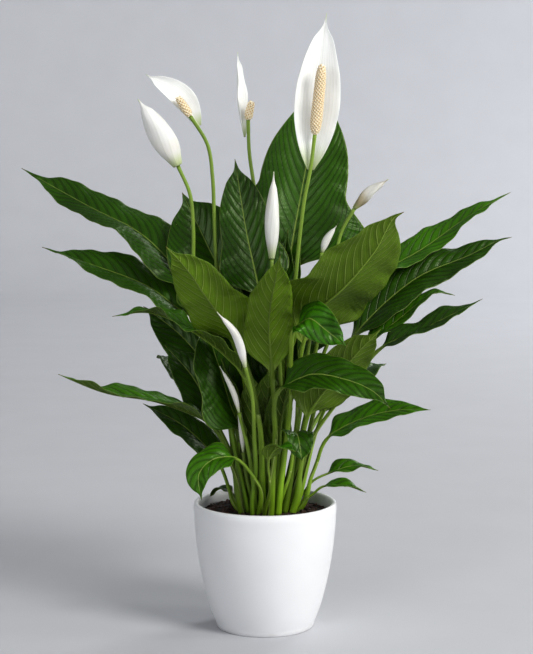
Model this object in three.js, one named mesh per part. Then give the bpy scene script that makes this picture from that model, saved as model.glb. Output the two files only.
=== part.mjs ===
// Potted peace lily (Spathiphyllum) in a round glazed pot.
// Millimetres, +Z up, origin at the middle of the pot's flat bottom.
// The pot, the soil, every leaf with its stalk, and every flower stem, spathe and spadix
// are solids of their own. The plant's points are [x, y, height above the soil].
import * as THREE from 'three';

// Pot
const POT_RIM_RADIUS = 76;
const POT_BASE_RADIUS = 50;
const POT_HEIGHT = 135;
const POT_WALL = 5;
const POT_FLOOR = 6;
const POT_BASE_EDGE = 4;
const POT_CORNER = 11;
const POT_FULLNESS = 0.74;
const POT_SIDES = 48;
const POT_ROWS = 10;
const LIP_STEPS = 6;

// Soil
const SOIL_BELOW_RIM = 13;
const SOIL_MOUND = 3;
const SOIL_CLEARANCE = 0.4;
const SOIL_WALL_GAP = 1;
const SOIL_ROWS = 6;
const SOIL_SLOPE_DROP = 0.65;

// Plant
const PLANT_SCALE = 1;
const CLUMP_RADIUS = 37;
const CLUMP_MARGIN = 12;
const JOIN_GAP = 0.4;

// Leaf stalks: a sheath round the lower share of each, and thinner stalks on leaves that are
// narrower than the full girth width
const STALK_RADIUS = 2.5;
const SHEATH_RADIUS = 3.9;
const SHEATH_SHARE = 0.55;
const FULL_GIRTH_WIDTH = 40;
const LEAST_GIRTH = 0.55;
const STALK_ROWS = 7;

// Leaf blades: shares are of the blade's length, from its foot
const LEAF_THICKNESS = 0.8;
const BLADE_ROWS = 12;
const ROW_CROWDING = 1.15;
const TIP_ROW = 0.35;
const BLADE_RISE = 0.8;
const BLADE_FALL = 1.1;
const ROLL_SHARE = 0.15;
const UNROLL_SHARE = 0.12;
const WAVE_TURN = 11;
const WAVE_LAG = 1.3;
const WAVE_START = 0.2;
const WAVE_END = 0.25;

// Midribs: widths and depths are shares of the rib's radius
const MIDRIB_TIP_RADIUS = 0.5;
const MIDRIB_TAPER = 0.6;
const RIB_TOP = 0.55;
const RIB_BOTTOM = 0.4;
const RIB_DEPTH = 0.5;
const STALK_SQUARENESS = 0.87;

// Flowers
const STEM_BASE_RADIUS = 3.0;
const STEM_TOP_RADIUS = 2.2;
const STEM_ROWS = 12;
const STEM_SIDES = 6;
const SPATHE_THICKNESS = 0.9;
const SPATHE_ROWS = 9;
const SPATHE_RISE = 0.95;
const SPATHE_FALL = 1.15;
const SPATHE_FOOT = 0.03;
const CLOSED_SIDES = 8;
const CLOSED_FOOT = 0.02;
const CLOSED_SPAN = 0.97;
const CLOSED_TAPER = 0.1;
const SPADIX_SIDES = 10;
const SPADIX_ROWS = 8;
const SPADIX_BLUNTNESS = 6;
const SPADIX_TAPER = 0.25;
const SPADIX_BOW = 1;

// Room that the leaves and stems leave one another
const ROOM = 1.1;
const ROOM_PASSES = 90;
const SAMPLE_STEP = 6;
const REACH = 11;
const BESIDE = 4.5;
const RIB_SHARE = 0.8;
const PUSH = 0.8;
const PUSH_SPREAD = 2;

const soilHeight = POT_HEIGHT - SOIL_BELOW_RIM;
const soilTop = soilHeight + SOIL_MOUND;

// Colours
const finish = (color, roughness) => ({ color, roughness, metalness: 0 });
const FINISHES = {
  glaze: finish(0xf0f1f2, 0.3),
  soil: finish(0x2b1e17, 0.95),
  dark: finish(0x16381a, 0.35),
  mid: finish(0x2c5a22, 0.4),
  light: finish(0x5a8a30, 0.45),
  stem: finish(0x86a94a, 0.5),
  spathe: finish(0xf4f4ec, 0.5),
  spadix: finish(0xe6dca8, 0.7),
};

// Leaves: stalk points up to the foot of the blade, then the blade's midrib to its tip.
// roll tips the blade about its midrib, twist adds roll towards the tip, fold lifts both
// margins, wave is the rise and fall of the margins.
const LEAVES = [
  { name: 'leaf_left_high', tone: 'dark', width: 54, roll: 24, twist: 8, fold: 12, wave: 3,
    stalk: [[-43, 15, 120], [-70, 30, 217]],
    blade: [[-130, 62, 288], [-189, 85, 318], [-237, 100, 343], [-269, 108, 361]] },
  { name: 'leaf_left_long', tone: 'dark', width: 50, roll: 34, twist: -14, fold: 16, wave: 3,
    stalk: [[-35, 5, 110], [-64, 15, 197]],
    blade: [[-124, 35, 236], [-187, 50, 259], [-242, 62, 277]] },
  { name: 'leaf_left_pale', tone: 'light', width: 56, roll: -34, twist: 0, fold: 10, wave: 2,
    stalk: [[-5, -34, 97], [-26, -60, 183]],
    blade: [[-57, -95, 235], [-79, -118, 270], [-97, -130, 291]] },
  { name: 'leaf_left_wavy', tone: 'mid', width: 44, roll: 6, twist: 0, fold: 12, wave: 4,
    stalk: [[-3, -28, 73], [-23, -36, 151]],
    blade: [[-67, -50, 194], [-117, -62, 219], [-155, -72, 216]] },
  { name: 'leaf_left_shade_1', tone: 'dark', width: 52, roll: 52, twist: 0, fold: 10, wave: 2,
    stalk: [[-27, 20, 77], [-48, 36, 127]],
    blade: [[-90, 64, 178], [-134, 84, 210]] },
  { name: 'leaf_left_shade_2', tone: 'dark', width: 44, roll: 44, twist: 0, fold: 10, wave: 2,
    stalk: [[-35, 8, 57], [-54, 16, 95]],
    blade: [[-78, 26, 140], [-108, 40, 172]] },
  { name: 'leaf_left_level', tone: 'mid', width: 38, roll: 12, twist: -14, fold: 16, wave: 3,
    stalk: [[-34, -22, 51], [-56, -26, 96]],
    blade: [[-109, -40, 123], [-165, -52, 135], [-212, -60, 155]] },
  { name: 'leaf_left_low', tone: 'dark', width: 32, roll: 34, twist: 0, fold: 12, wave: 2,
    stalk: [[-35, 0, 16], [-50, 6, 51]],
    blade: [[-86, 22, 86], [-132, 38, 109]] },
  { name: 'leaf_left_drooping', tone: 'mid', width: 30, roll: 34, twist: 0, fold: 10, wave: 1,
    stalk: [[-8, -38, 36], [-30, -48, 65]],
    blade: [[-54, -60, 66], [-68, -68, 52], [-65, -76, 27]] },
  { name: 'leaf_left_small', tone: 'dark', width: 15, roll: 0, twist: 0, fold: 12, wave: 0,
    stalk: [[-35, 17, 15]],
    blade: [[-48, 23, 19], [-60, 28, 9]] },
  { name: 'leaf_centre_front', tone: 'light', width: 46, roll: 0, twist: 0, fold: 8, wave: 1,
    stalk: [[11, -32, 86], [7, -60, 158]],
    blade: [[5, -92, 222], [10, -116, 256], [15, -135, 283]] },
  { name: 'leaf_centre_broad', tone: 'light', width: 94, roll: 20, twist: 0, fold: 6, wave: 2,
    stalk: [[33, -28, 98], [40, -50, 186]],
    blade: [[82, -85, 248], [112, -102, 289], [126, -110, 317], [137, -114, 324]] },
  { name: 'leaf_centre_tall', tone: 'dark', width: 94, roll: -40, twist: 0, fold: 8, wave: 1,
    stalk: [[19, 18, 119], [25, 34, 252]],
    blade: [[38, 52, 331], [52, 64, 406], [59, 72, 454]] },
  { name: 'leaf_centre_left', tone: 'dark', width: 56, roll: 46, twist: 0, fold: 8, wave: 1,
    stalk: [[5, 2, 122], [-5, 6, 226]],
    blade: [[-20, 14, 298], [-32, 28, 373]] },
  { name: 'leaf_centre_shade', tone: 'dark', width: 66, roll: 50, twist: 0, fold: 8, wave: 1,
    stalk: [[-8, 20, 119], [-29, 32, 202]],
    blade: [[-58, 50, 270], [-90, 66, 336]] },
  { name: 'leaf_front_short', tone: 'dark', width: 30, roll: 0, twist: 0, fold: 10, wave: 0,
    stalk: [[27, -26, 50], [31, -40, 90]],
    blade: [[34, -56, 90], [38, -70, 66]] },
  { name: 'leaf_front_small', tone: 'light', width: 13, roll: 0, twist: 0, fold: 12, wave: 0,
    stalk: [[5, -56, 38], [4, -68, 68]],
    blade: [[14, -76, 82], [31, -84, 79]] },
  { name: 'leaf_centre_inner', tone: 'dark', width: 50, roll: 40, twist: 0, fold: 10, wave: 1,
    stalk: [[-27, -6, 46], [-32, -6, 84]],
    blade: [[-48, -4, 140], [-68, 4, 200]] },
  { name: 'leaf_right_high', tone: 'mid', width: 36, roll: -24, twist: 0, fold: 14, wave: 3,
    stalk: [[58, 14, 152], [98, 34, 232]],
    blade: [[172, 62, 276], [224, 78, 311], [269, 92, 335]] },
  { name: 'leaf_right_large', tone: 'dark', width: 48, roll: -36, twist: 0, fold: 12, wave: 3,
    stalk: [[56, 10, 120], [92, 24, 180]],
    blade: [[160, 46, 240], [222, 62, 268], [256, 72, 284], [269, 74, 287]] },
  { name: 'leaf_right_curled', tone: 'mid', width: 30, roll: -18, twist: 0, fold: 14, wave: 3,
    stalk: [[64, -2, 111], [104, 4, 172]],
    blade: [[149, 14, 211], [181, 22, 233], [203, 28, 228]] },
  { name: 'leaf_right_level', tone: 'dark', width: 34, roll: -20, twist: 0, fold: 12, wave: 2,
    stalk: [[51, -10, 81], [84, -14, 128], [120, -20, 176]],
    blade: [[172, -22, 201], [226, -24, 229]] },
  { name: 'leaf_right_olive', tone: 'light', width: 56, roll: 36, twist: 0, fold: 8, wave: 1,
    stalk: [[38, -24, 60], [44, -34, 106]],
    blade: [[82, -60, 164], [118, -76, 204]] },
  { name: 'leaf_right_bright', tone: 'light', width: 38, roll: -50, twist: 0, fold: 10, wave: 1,
    stalk: [[27, -36, 120], [29, -72, 206]],
    blade: [[40, -92, 220], [62, -106, 205], [82, -112, 190]] },
  { name: 'leaf_right_arching', tone: 'dark', width: 44, roll: -40, twist: 0, fold: 10, wave: 1,
    stalk: [[10, -52, 87], [13, -68, 138]],
    blade: [[43, -74, 155], [84, -90, 153], [110, -98, 142], [126, -103, 126]] },
  { name: 'leaf_right_low', tone: 'mid', width: 34, roll: -30, twist: 0, fold: 12, wave: 2,
    stalk: [[53, 6, 45], [66, 8, 76]],
    blade: [[106, 6, 99], [143, 2, 108], [175, -4, 109]] },
  { name: 'leaf_right_small_1', tone: 'mid', width: 18, roll: -20, twist: 0, fold: 14, wave: 2,
    stalk: [[50, 12, 28], [66, 16, 36]],
    blade: [[97, 22, 44], [122, 26, 38]] },
  { name: 'leaf_right_small_2', tone: 'mid', width: 17, roll: -10, twist: 0, fold: 14, wave: 1,
    stalk: [[52, -12, 21], [61, -16, 29]],
    blade: [[84, -24, 32], [106, -32, 26]] },
  { name: 'leaf_back_1', tone: 'dark', width: 60, roll: 0, twist: 0, fold: 12, wave: 2,
    stalk: [[-16, 44, 110], [-26, 78, 180]],
    blade: [[-40, 130, 240], [-50, 178, 262]] },
  { name: 'leaf_back_2', tone: 'dark', width: 56, roll: 0, twist: 0, fold: 12, wave: 2,
    stalk: [[20, 46, 90], [34, 84, 150]],
    blade: [[58, 140, 196], [72, 188, 200]] },
  { name: 'leaf_back_3', tone: 'dark', width: 52, roll: 0, twist: 0, fold: 12, wave: 2,
    stalk: [[-30, 38, 60], [-52, 66, 104]],
    blade: [[-92, 116, 140], [-122, 156, 146]] },
  { name: 'leaf_back_4', tone: 'dark', width: 48, roll: 0, twist: 0, fold: 12, wave: 2,
    stalk: [[38, 36, 56], [62, 62, 96]],
    blade: [[104, 108, 132], [138, 146, 138]] },
  { name: 'leaf_back_5', tone: 'mid', width: 40, roll: 0, twist: 0, fold: 12, wave: 2,
    stalk: [[0, 42, 40], [0, 66, 74]],
    blade: [[-4, 112, 110], [-8, 152, 112]] },
];

// Flowers: stem points up to the foot of the spadix or of a closed spathe, then the spathe's
// keel measured from the top of the stem. An open spathe is cupped towards its facing angle
// (degrees from +X) and shows its spadix; a closed one is rolled into a bud.
const FLOWERS = [
  { name: 'flower_tall', open: true, width: 47, facing: -84, cup: 0.3,
    stem: [[23, -12, 124], [33, -22, 264], [41, -28, 335], [47, -32, 366], [51, -34, 399]],
    spathe: [[-4, 2.5, -36], [2, 4, 26], [7, 4, 80], [13, 3, 124]],
    spadix: { length: 72, radius: 6, lean: [7, -7] } },
  { name: 'flower_left_open', open: true, width: 25, facing: -62, cup: 0.4,
    stem: [[-27, 8, 142], [-50, 12, 250], [-57, 11, 370], [-66, 6, 404], [-78, 2, 418]],
    spathe: [[11, 5, -10], [-8, 3, 20], [-43, -12, 43]],
    spadix: { length: 24, radius: 4, lean: [-13, -5] } },
  { name: 'flower_back', open: true, width: 22, facing: -24, cup: 0.5,
    stem: [[3, 24, 183], [-10, 30, 332], [-16, 30, 370], [-18, 30, 414]],
    spathe: [[-1, 0, -18], [-5, -2, 18], [-6, -3, 71]],
    spadix: { length: 20, radius: 4, lean: [4, -3] } },
  { name: 'flower_left_closed', open: false, width: 27,
    stem: [[-26, -14, 156], [-65, -18, 262], [-79, -20, 342], [-90, -22, 367]],
    spathe: [[0, 0, 0], [-13, -2, 24], [-40, -8, 68]] },
  { name: 'flower_right_faded', open: false, width: 15,
    stem: [[56, 5, 185], [79, 14, 289], [84, 14, 306], [94, 12, 321]],
    spathe: [[0, 0, 0], [14, -4, 16], [35, -8, 31]] },
  { name: 'flower_centre_closed', open: false, width: 15,
    stem: [[16, -20, 146], [7, -30, 240], [7, -30, 271]],
    spathe: [[0, 0, 0], [0, -2, 38], [2, -4, 90]] },
  { name: 'flower_low_closed', open: false, width: 9,
    stem: [[-11, -48, 80], [-13, -66, 132], [-20, -80, 165]],
    spathe: [[0, 0, 0], [-9, -16, 34], [-28, -26, 59]] },
  { name: 'bud_right', open: false, width: 8,
    stem: [[46, 2, 175], [60, 6, 275]],
    spathe: [[0, 0, 0], [4, 0, 12], [15, -1, 28]] },
  { name: 'bud_left_high', open: false, width: 6,
    stem: [[-22, -4, 70], [-31, -6, 129], [-41, -8, 165]],
    spathe: [[0, 0, 0], [-14, -4, 26], [-35, -10, 56]] },
  { name: 'bud_left_low', open: false, width: 6,
    stem: [[-16, -24, 60], [-27, -30, 110]],
    spathe: [[0, 0, 0], [-6, -4, 22], [-20, -8, 50]] },
  { name: 'bud_low', open: false, width: 6,
    stem: [[-20, -16, 40], [-23, -20, 66]],
    spathe: [[0, 0, 0], [-2, -2, 28], [-6, -4, 58]] },
];

const degrees = (angle) => THREE.MathUtils.degToRad(angle);
const lerp = THREE.MathUtils.lerp;
const smooth = (value) => THREE.MathUtils.smoothstep(value, 0, 1);
const UP = new THREE.Vector3(0, 0, 1);

const plantPoint = ([x, y, height]) =>
  new THREE.Vector3(x * PLANT_SCALE, y * PLANT_SCALE, soilTop + height * PLANT_SCALE);

// Where a stalk leaves the soil: nearer the middle of the clump than its first point.
function rootPoint([x, y]) {
  const reach = Math.hypot(x, y);
  const radius = CLUMP_RADIUS * (1 - Math.exp(-reach / CLUMP_RADIUS));
  const share = reach > 0 ? radius / reach : 0;
  return new THREE.Vector3(x * share, y * share, soilTop + JOIN_GAP);
}

// A closed solid from rings of points, with a single point at each end. The diagonals of the
// first half of the columns mirror those of the second, so a thin piece's skins stay apart.
function loft(rings, start, end) {
  const count = rings[0].length;
  const positions = [start, ...rings.flat(), end].flatMap((point) => point.toArray());
  const last = rings.length * count + 1;
  const at = (row, column) => 1 + row * count + (column % count);
  const faces = [];
  for (let column = 0; column < count; column += 1) {
    faces.push(0, at(0, column + 1), at(0, column));
    faces.push(last, at(rings.length - 1, column), at(rings.length - 1, column + 1));
    for (let row = 0; row + 1 < rings.length; row += 1) {
      const [near, next] = [at(row, column), at(row, column + 1)];
      const [above, far] = [at(row + 1, column), at(row + 1, column + 1)];
      if (column < count / 2) faces.push(near, far, above, near, next, far);
      else faces.push(near, next, above, next, far, above);
    }
  }
  const geometry = new THREE.BufferGeometry();
  geometry.setAttribute('position', new THREE.Float32BufferAttribute(positions, 3));
  geometry.setIndex(faces);
  return geometry;
}

// ---------- paths and rows ----------

// The share of a curve's length that lies before its point number index.
function shareAt(curve, index) {
  const steps = 400;
  const lengths = curve.getLengths(steps);
  const place = Math.round((steps * index) / (curve.points.length - 1));
  return lengths[place] / lengths[steps];
}

// Sets each row's direction along the path and its sideways and upward directions.
function turnRows(piece) {
  const { rows } = piece;
  rows.forEach((row, index) => {
    const before = rows[Math.max(index - 1, 0)].centre;
    const after = rows[Math.min(index + 1, rows.length - 1)].centre;
    const along = row.level ? UP.clone() : after.clone().sub(before).normalize();
    const side = piece.side(along);
    const over = side.clone().cross(along);
    side.applyAxisAngle(along, -row.roll);
    over.applyAxisAngle(along, -row.roll);
    Object.assign(row, { along, side, over });
  });
}

// Half width along the midrib, as a share of the widest half: rise rounds the foot and fall
// draws out the tip.
function outline(share, rise, fall) {
  const peak = rise / (rise + fall);
  return (share / peak) ** rise * ((1 - share) / (1 - peak)) ** fall;
}

// Small leaves stand on thin stalks.
const girth = (leaf) => THREE.MathUtils.clamp(leaf.width / FULL_GIRTH_WIDTH, LEAST_GIRTH, 1);

function makeLeaf(leaf) {
  const points = [rootPoint(leaf.stalk[0]), ...leaf.stalk.map(plantPoint),
    ...leaf.blade.map(plantPoint)];
  const curve = new THREE.CatmullRomCurve3(points, false, 'centripetal');
  const knee = shareAt(curve, leaf.stalk.length);
  const rows = [];
  for (let index = 0; index < STALK_ROWS; index += 1) {
    const share = index / STALK_ROWS;
    const radius = lerp(SHEATH_RADIUS, STALK_RADIUS, smooth(share / SHEATH_SHARE)) * girth(leaf);
    rows.push({ centre: curve.getPointAt(knee * share), width: radius, rib: radius,
      blade: -1, roll: 0, level: index === 0 });
  }
  for (let index = 0; index < BLADE_ROWS; index += 1) {
    const share = (index / (BLADE_ROWS - TIP_ROW)) ** ROW_CROWDING;
    const rib = lerp(STALK_RADIUS * girth(leaf), MIDRIB_TIP_RADIUS, share ** MIDRIB_TAPER);
    const half = (leaf.width / 2) * PLANT_SCALE * outline(share, BLADE_RISE, BLADE_FALL);
    rows.push({ centre: curve.getPointAt(lerp(knee, 1, share)), width: Math.max(rib, half), rib,
      blade: share, roll: degrees(leaf.roll * smooth(share / ROLL_SHARE) + leaf.twist * share) });
  }
  rows.push({ centre: curve.getPointAt(1), width: 0, rib: 0, blade: 1,
    roll: degrees(leaf.roll + leaf.twist) });
  const heading = points.at(-1).clone().sub(points[0]).setZ(0).normalize();
  const level = heading.clone().cross(UP);
  const side = (along) => level.clone().addScaledVector(along, -level.dot(along)).normalize();
  const piece = { name: leaf.name, rows, side, spec: leaf };
  turnRows(piece);
  return piece;
}

// The lift of a leaf's margin above its midrib: the fold and the wave.
function marginLift(leaf, row, hand) {
  if (row.blade < 0) return 0;
  const waves = Math.sin(row.blade * WAVE_TURN + hand * WAVE_LAG + leaf.width) * leaf.wave;
  const body = smooth(row.blade / WAVE_START) * smooth((1 - row.blade) / WAVE_END);
  const fold = row.width * Math.tan(degrees(leaf.fold)) * smooth(row.blade / UNROLL_SHARE);
  return fold + waves * PLANT_SCALE * body;
}

function leafRing(leaf, row) {
  const flat = row.blade < 0 ? 0 : smooth(row.blade / UNROLL_SHARE);
  const round = row.rib * STALK_SQUARENESS;
  const top = lerp(round, LEAF_THICKNESS / 2, flat);
  const bottom = lerp(round, LEAF_THICKNESS / 2 + row.rib * RIB_DEPTH, flat);
  const corners = [
    [-row.width, marginLift(leaf, row, -1)],
    [-row.rib * RIB_TOP, top],
    [row.rib * RIB_TOP, top],
    [row.width, marginLift(leaf, row, 1)],
    [row.rib * RIB_BOTTOM, -bottom],
    [-row.rib * RIB_BOTTOM, -bottom],
  ];
  return corners.map(([across, lift]) => row.centre.clone()
    .addScaledVector(row.side, across).addScaledVector(row.over, lift));
}

function leafGeometry(piece) {
  const rings = piece.rows.slice(0, -1).map((row) => leafRing(piece.spec, row));
  return loft(rings, piece.rows[0].centre, piece.rows.at(-1).centre);
}

// ---------- flowers ----------

function makeStem(flower) {
  const points = [rootPoint(flower.stem[0]), ...flower.stem.map(plantPoint)];
  const curve = new THREE.CatmullRomCurve3(points, false, 'centripetal');
  const rows = [];
  for (let index = 0; index <= STEM_ROWS; index += 1) {
    const share = index / STEM_ROWS;
    const radius = lerp(STEM_BASE_RADIUS, STEM_TOP_RADIUS, share);
    rows.push({ centre: curve.getPointAt(share), width: radius, rib: radius, blade: -1,
      roll: 0, level: index === 0 });
  }
  const level = new THREE.Vector3(1, 0, 0);
  const side = (along) => level.clone().addScaledVector(along, -level.dot(along)).normalize();
  const piece = { rows, side, spec: flower };
  turnRows(piece);
  return piece;
}

function roundRing(row, count) {
  return Array.from({ length: count }, (_, index) => {
    const angle = -(2 * Math.PI * index) / count;
    return row.centre.clone().addScaledVector(row.side, row.width * Math.cos(angle))
      .addScaledVector(row.over, row.width * Math.sin(angle));
  });
}

function tubeGeometry(rows, count) {
  const rings = rows.map((row) => roundRing(row, count));
  return loft(rings, rows[0].centre, rows.at(-1).centre);
}

// A closed body of round rings along a curve, pointed or rounded at both ends by profile.
function spindleRows(curve, radius, profile, count) {
  const rows = [];
  for (let index = 0; index <= count; index += 1) {
    const share = index / count;
    rows.push({ centre: curve.getPointAt(share), width: radius * profile(share), rib: 0,
      blade: -1, roll: 0 });
  }
  return rows;
}

function spindleGeometry(rows, count) {
  const rings = rows.slice(1, -1).map((row) => roundRing(row, count));
  return loft(rings, rows[0].centre, rows.at(-1).centre);
}

// The keel curve of a spathe, measured from the top of its stem; offset(index) moves point
// number index clear of the stem or the spadix.
function keelCurve(flower, stem, offset) {
  const top = stem.rows.at(-1);
  const points = flower.spathe.map(([x, y, z], index) => top.centre.clone()
    .add(new THREE.Vector3(x, y, z).multiplyScalar(PLANT_SCALE)).add(offset(index)));
  return new THREE.CatmullRomCurve3(points, false, 'centripetal');
}

function closedSpathe(flower, stem) {
  const offset = stem.rows.at(-1).along.clone().multiplyScalar(JOIN_GAP);
  const curve = keelCurve(flower, stem, () => offset);
  const profile = (share) => (1 - share * CLOSED_TAPER) * Math.max(CLOSED_FOOT,
    outline(share * CLOSED_SPAN + CLOSED_FOOT, BLADE_RISE, BLADE_FALL));
  const rows = spindleRows(curve, (flower.width / 2) * PLANT_SCALE, profile, SPATHE_ROWS);
  const piece = { rows, side: stem.side };
  turnRows(piece);
  return piece;
}

function openSpathe(flower, stem) {
  const facing = new THREE.Vector3(Math.cos(degrees(flower.facing)),
    Math.sin(degrees(flower.facing)), 0);
  const clear = (radius) => facing.clone().multiplyScalar(-(radius + SPATHE_THICKNESS + JOIN_GAP));
  const curve = keelCurve(flower, stem, (index) =>
    clear(index === 0 ? STEM_TOP_RADIUS : flower.spadix.radius));
  const rows = [];
  for (let index = 0; index <= SPATHE_ROWS; index += 1) {
    const share = index / SPATHE_ROWS;
    const half = outline(lerp(SPATHE_FOOT, 1, share), SPATHE_RISE, SPATHE_FALL);
    rows.push({ centre: curve.getPointAt(share), width: (flower.width / 2) * PLANT_SCALE * half,
      rib: 0, blade: share, roll: 0 });
  }
  const side = (along) => along.clone().cross(facing).normalize();
  const piece = { rows, side, spec: flower };
  turnRows(piece);
  return piece;
}

function spatheRing(flower, row) {
  const half = SPATHE_THICKNESS / 2;
  const lift = (share) => flower.cup * row.width * share * share;
  const corners = [[-1, 0], [-0.5, half], [0, half], [0.5, half], [1, 0],
    [0.5, -half], [0, -half], [-0.5, -half]];
  return corners.map(([share, skin]) => row.centre.clone()
    .addScaledVector(row.side, row.width * share)
    .addScaledVector(row.over, lift(share) + skin));
}

function spatheGeometry(piece) {
  const rings = piece.rows.slice(0, -1).map((row) => spatheRing(piece.spec, row));
  return loft(rings, piece.rows[0].centre, piece.rows.at(-1).centre);
}

function spadixPiece(flower, stem) {
  const { length, radius, lean } = flower.spadix;
  const top = stem.rows.at(-1);
  const foot = top.centre.clone().addScaledVector(top.along, JOIN_GAP);
  const rise = Math.sqrt(Math.max(length ** 2 - lean[0] ** 2 - lean[1] ** 2, 1));
  const tip = foot.clone().add(new THREE.Vector3(lean[0], lean[1], rise)
    .multiplyScalar(PLANT_SCALE));
  const middle = foot.clone().lerp(tip, 0.5).addScaledVector(top.along, SPADIX_BOW);
  const curve = new THREE.CatmullRomCurve3([foot, middle, tip], false, 'centripetal');
  const profile = (share) => (1 - SPADIX_TAPER * share)
    * Math.sqrt(Math.max(0, 1 - (2 * share - 1) ** SPADIX_BLUNTNESS));
  const rows = spindleRows(curve, radius * PLANT_SCALE, profile, SPADIX_ROWS);
  const piece = { rows, side: stem.side };
  turnRows(piece);
  return piece;
}

// ---------- making room ----------

// Points spread over a piece, each with its rows, its normal and its half thickness.
function samples(piece, index) {
  const found = [];
  const { rows } = piece;
  for (let row = 0; row + 1 < rows.length; row += 1) {
    const low = rows[row];
    const high = rows[row + 1];
    const steps = Math.max(1, Math.ceil(low.centre.distanceTo(high.centre) / sampleStep));
    for (let step = 0; step < steps; step += 1) {
      const share = step / steps;
      const width = lerp(low.width, high.width, share);
      const rib = lerp(low.rib, high.rib, share);
      const centre = low.centre.clone().lerp(high.centre, share);
      const flat = low.blade >= 0;
      const columns = flat ? Math.round(width / sampleStep) : 0;
      for (let column = -columns; column <= columns; column += 1) {
        const across = columns ? column / columns : 0;
        const lift = flat ? marginRise(piece, low, high, share, across) : 0;
        const point = centre.clone().addScaledVector(low.side, across * width)
          .addScaledVector(low.over, lift);
        const rise = column === 0 ? rib * RIB_SHARE : 0;
        const radius = flat ? Math.max(LEAF_THICKNESS / 2, rise) : width;
        found.push({ piece: index, row, share, point, normal: flat ? low.over : null, radius });
      }
    }
  }
  return found;
}

// How far a blade's surface stands above its midrib, at a share of the half width across it.
function marginRise(piece, low, high, share, across) {
  const hand = Math.sign(across);
  const lift = lerp(marginLift(piece.spec, low, hand), marginLift(piece.spec, high, hand), share);
  return lift * Math.abs(across);
}

const cellKey = (x, y, z) => `${x},${y},${z}`;

// Every pair of samples of two pieces that lie within reach of one another.
function nearPairs(all) {
  const cells = new Map();
  const cellOf = (point) => point.toArray().map((value) => Math.floor(value / reach));
  all.forEach((sample) => {
    const key = cellKey(...cellOf(sample.point));
    if (!cells.has(key)) cells.set(key, []);
    cells.get(key).push(sample);
  });
  const pairs = [];
  all.forEach((sample) => {
    const [x, y, z] = cellOf(sample.point);
    for (let dx = -1; dx <= 1; dx += 1) {
      for (let dy = -1; dy <= 1; dy += 1) {
        for (let dz = -1; dz <= 1; dz += 1) {
          (cells.get(cellKey(x + dx, y + dy, z + dz)) ?? []).forEach((other) => {
            if (other.piece <= sample.piece) return;
            if (other.point.distanceToSquared(sample.point) < reach * reach) {
              pairs.push([sample, other]);
            }
          });
        }
      }
    }
  });
  return pairs;
}

// The direction in which a pair of near points should part, and how far apart they are in it.
function parting(first, second) {
  const between = first.point.clone().sub(second.point);
  if (!first.normal && !second.normal) {
    const distance = between.length() || 1;
    return { direction: between.divideScalar(distance), apart: distance, beside: 0 };
  }
  const direction = new THREE.Vector3();
  if (second.normal) direction.add(second.normal);
  if (first.normal) {
    const sign = direction.lengthSq() === 0 || direction.dot(first.normal) >= 0 ? 1 : -1;
    direction.addScaledVector(first.normal, sign);
  }
  direction.normalize();
  const apart = between.dot(direction);
  return { direction, apart, beside: between.addScaledVector(direction, -apart).length() };
}

const sampleStep = SAMPLE_STEP * PLANT_SCALE;
const reach = REACH * PLANT_SCALE;

// Leaves and stems press one another aside until there is room between them.
function makeRoom(pieces) {
  const sides = new Map();
  for (let pass = 0; pass < ROOM_PASSES; pass += 1) {
    const all = pieces.flatMap(samples);
    const contacts = nearPairs(all).map(([first, second]) =>
      ({ first, second, ...parting(first, second) }))
      .filter((contact) => contact.beside < BESIDE * PLANT_SCALE);
    contacts.forEach(({ first, second, apart }) => {
      const key = `${first.piece}|${second.piece}`;
      sides.set(key, (sides.get(key) ?? 0) + apart);
    });
    const shifts = pieces.map((piece) => piece.rows.map(() => ({ sum: new THREE.Vector3(),
      weight: 0 })));
    contacts.forEach(({ first, second, direction, apart }) => {
      const round = !first.normal && !second.normal;
      const sign = round ? 1 : Math.sign(sides.get(`${first.piece}|${second.piece}`)) || 1;
      const need = first.radius + second.radius + ROOM * PLANT_SCALE - sign * apart;
      if (need <= 0) return;
      const push = direction.clone().multiplyScalar((sign * need) / 2);
      addShift(shifts[first.piece], first, push);
      addShift(shifts[second.piece], second, push.clone().negate());
    });
    pieces.forEach((piece, index) => applyShifts(piece, shifts[index]));
  }
}

// Adds a push to the two rows that a sample lies between, the stronger pushes counting more.
function addShift(shifts, sample, push) {
  const weight = push.length();
  [[sample.row, 1 - sample.share], [sample.row + 1, sample.share]].forEach(([row, share]) => {
    shifts[row].sum.addScaledVector(push, share * weight);
    shifts[row].weight += share * weight;
  });
}

// Moves a piece's rows by their shifts, each spread over its neighbours; roots stay level.
function applyShifts(piece, shifts) {
  const moves = shifts.map(({ sum, weight }) => (weight > 0 ? sum.divideScalar(weight) : sum));
  const smoothed = moves.map((_, row) => {
    const total = new THREE.Vector3();
    let weights = 0;
    for (let near = row - PUSH_SPREAD; near <= row + PUSH_SPREAD; near += 1) {
      const weight = 1 - Math.abs(near - row) / (PUSH_SPREAD + 1);
      weights += weight;
      if (moves[near]) total.addScaledVector(moves[near], weight);
    }
    return total.divideScalar(weights);
  });
  piece.rows.forEach((row, index) => {
    if (index === 0) smoothed[0].setZ(0);
    row.centre.addScaledVector(smoothed[index], PUSH);
  });
  turnRows(piece);
}

// ---------- pot and soil ----------

// The pot's outer radius at a height: nearly upright under the rim, drawn in to the base.
function potRadius(height) {
  const share = height / POT_HEIGHT;
  return lerp(POT_BASE_RADIUS, POT_RIM_RADIUS, Math.sin(share * Math.PI / 2) ** POT_FULLNESS);
}

// The radius of the pot's flat floor inside, where its rounded inner corner ends.
const floorRadius = potRadius(POT_FLOOR) - POT_CORNER;

// Points up or down a wall that stands inset from the pot's outer face.
function wallPoints(inset, low, high, steps) {
  return Array.from({ length: steps + 1 }, (_, index) => {
    const height = lerp(low, high, index / steps);
    return [potRadius(height) - inset, height];
  });
}

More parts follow.
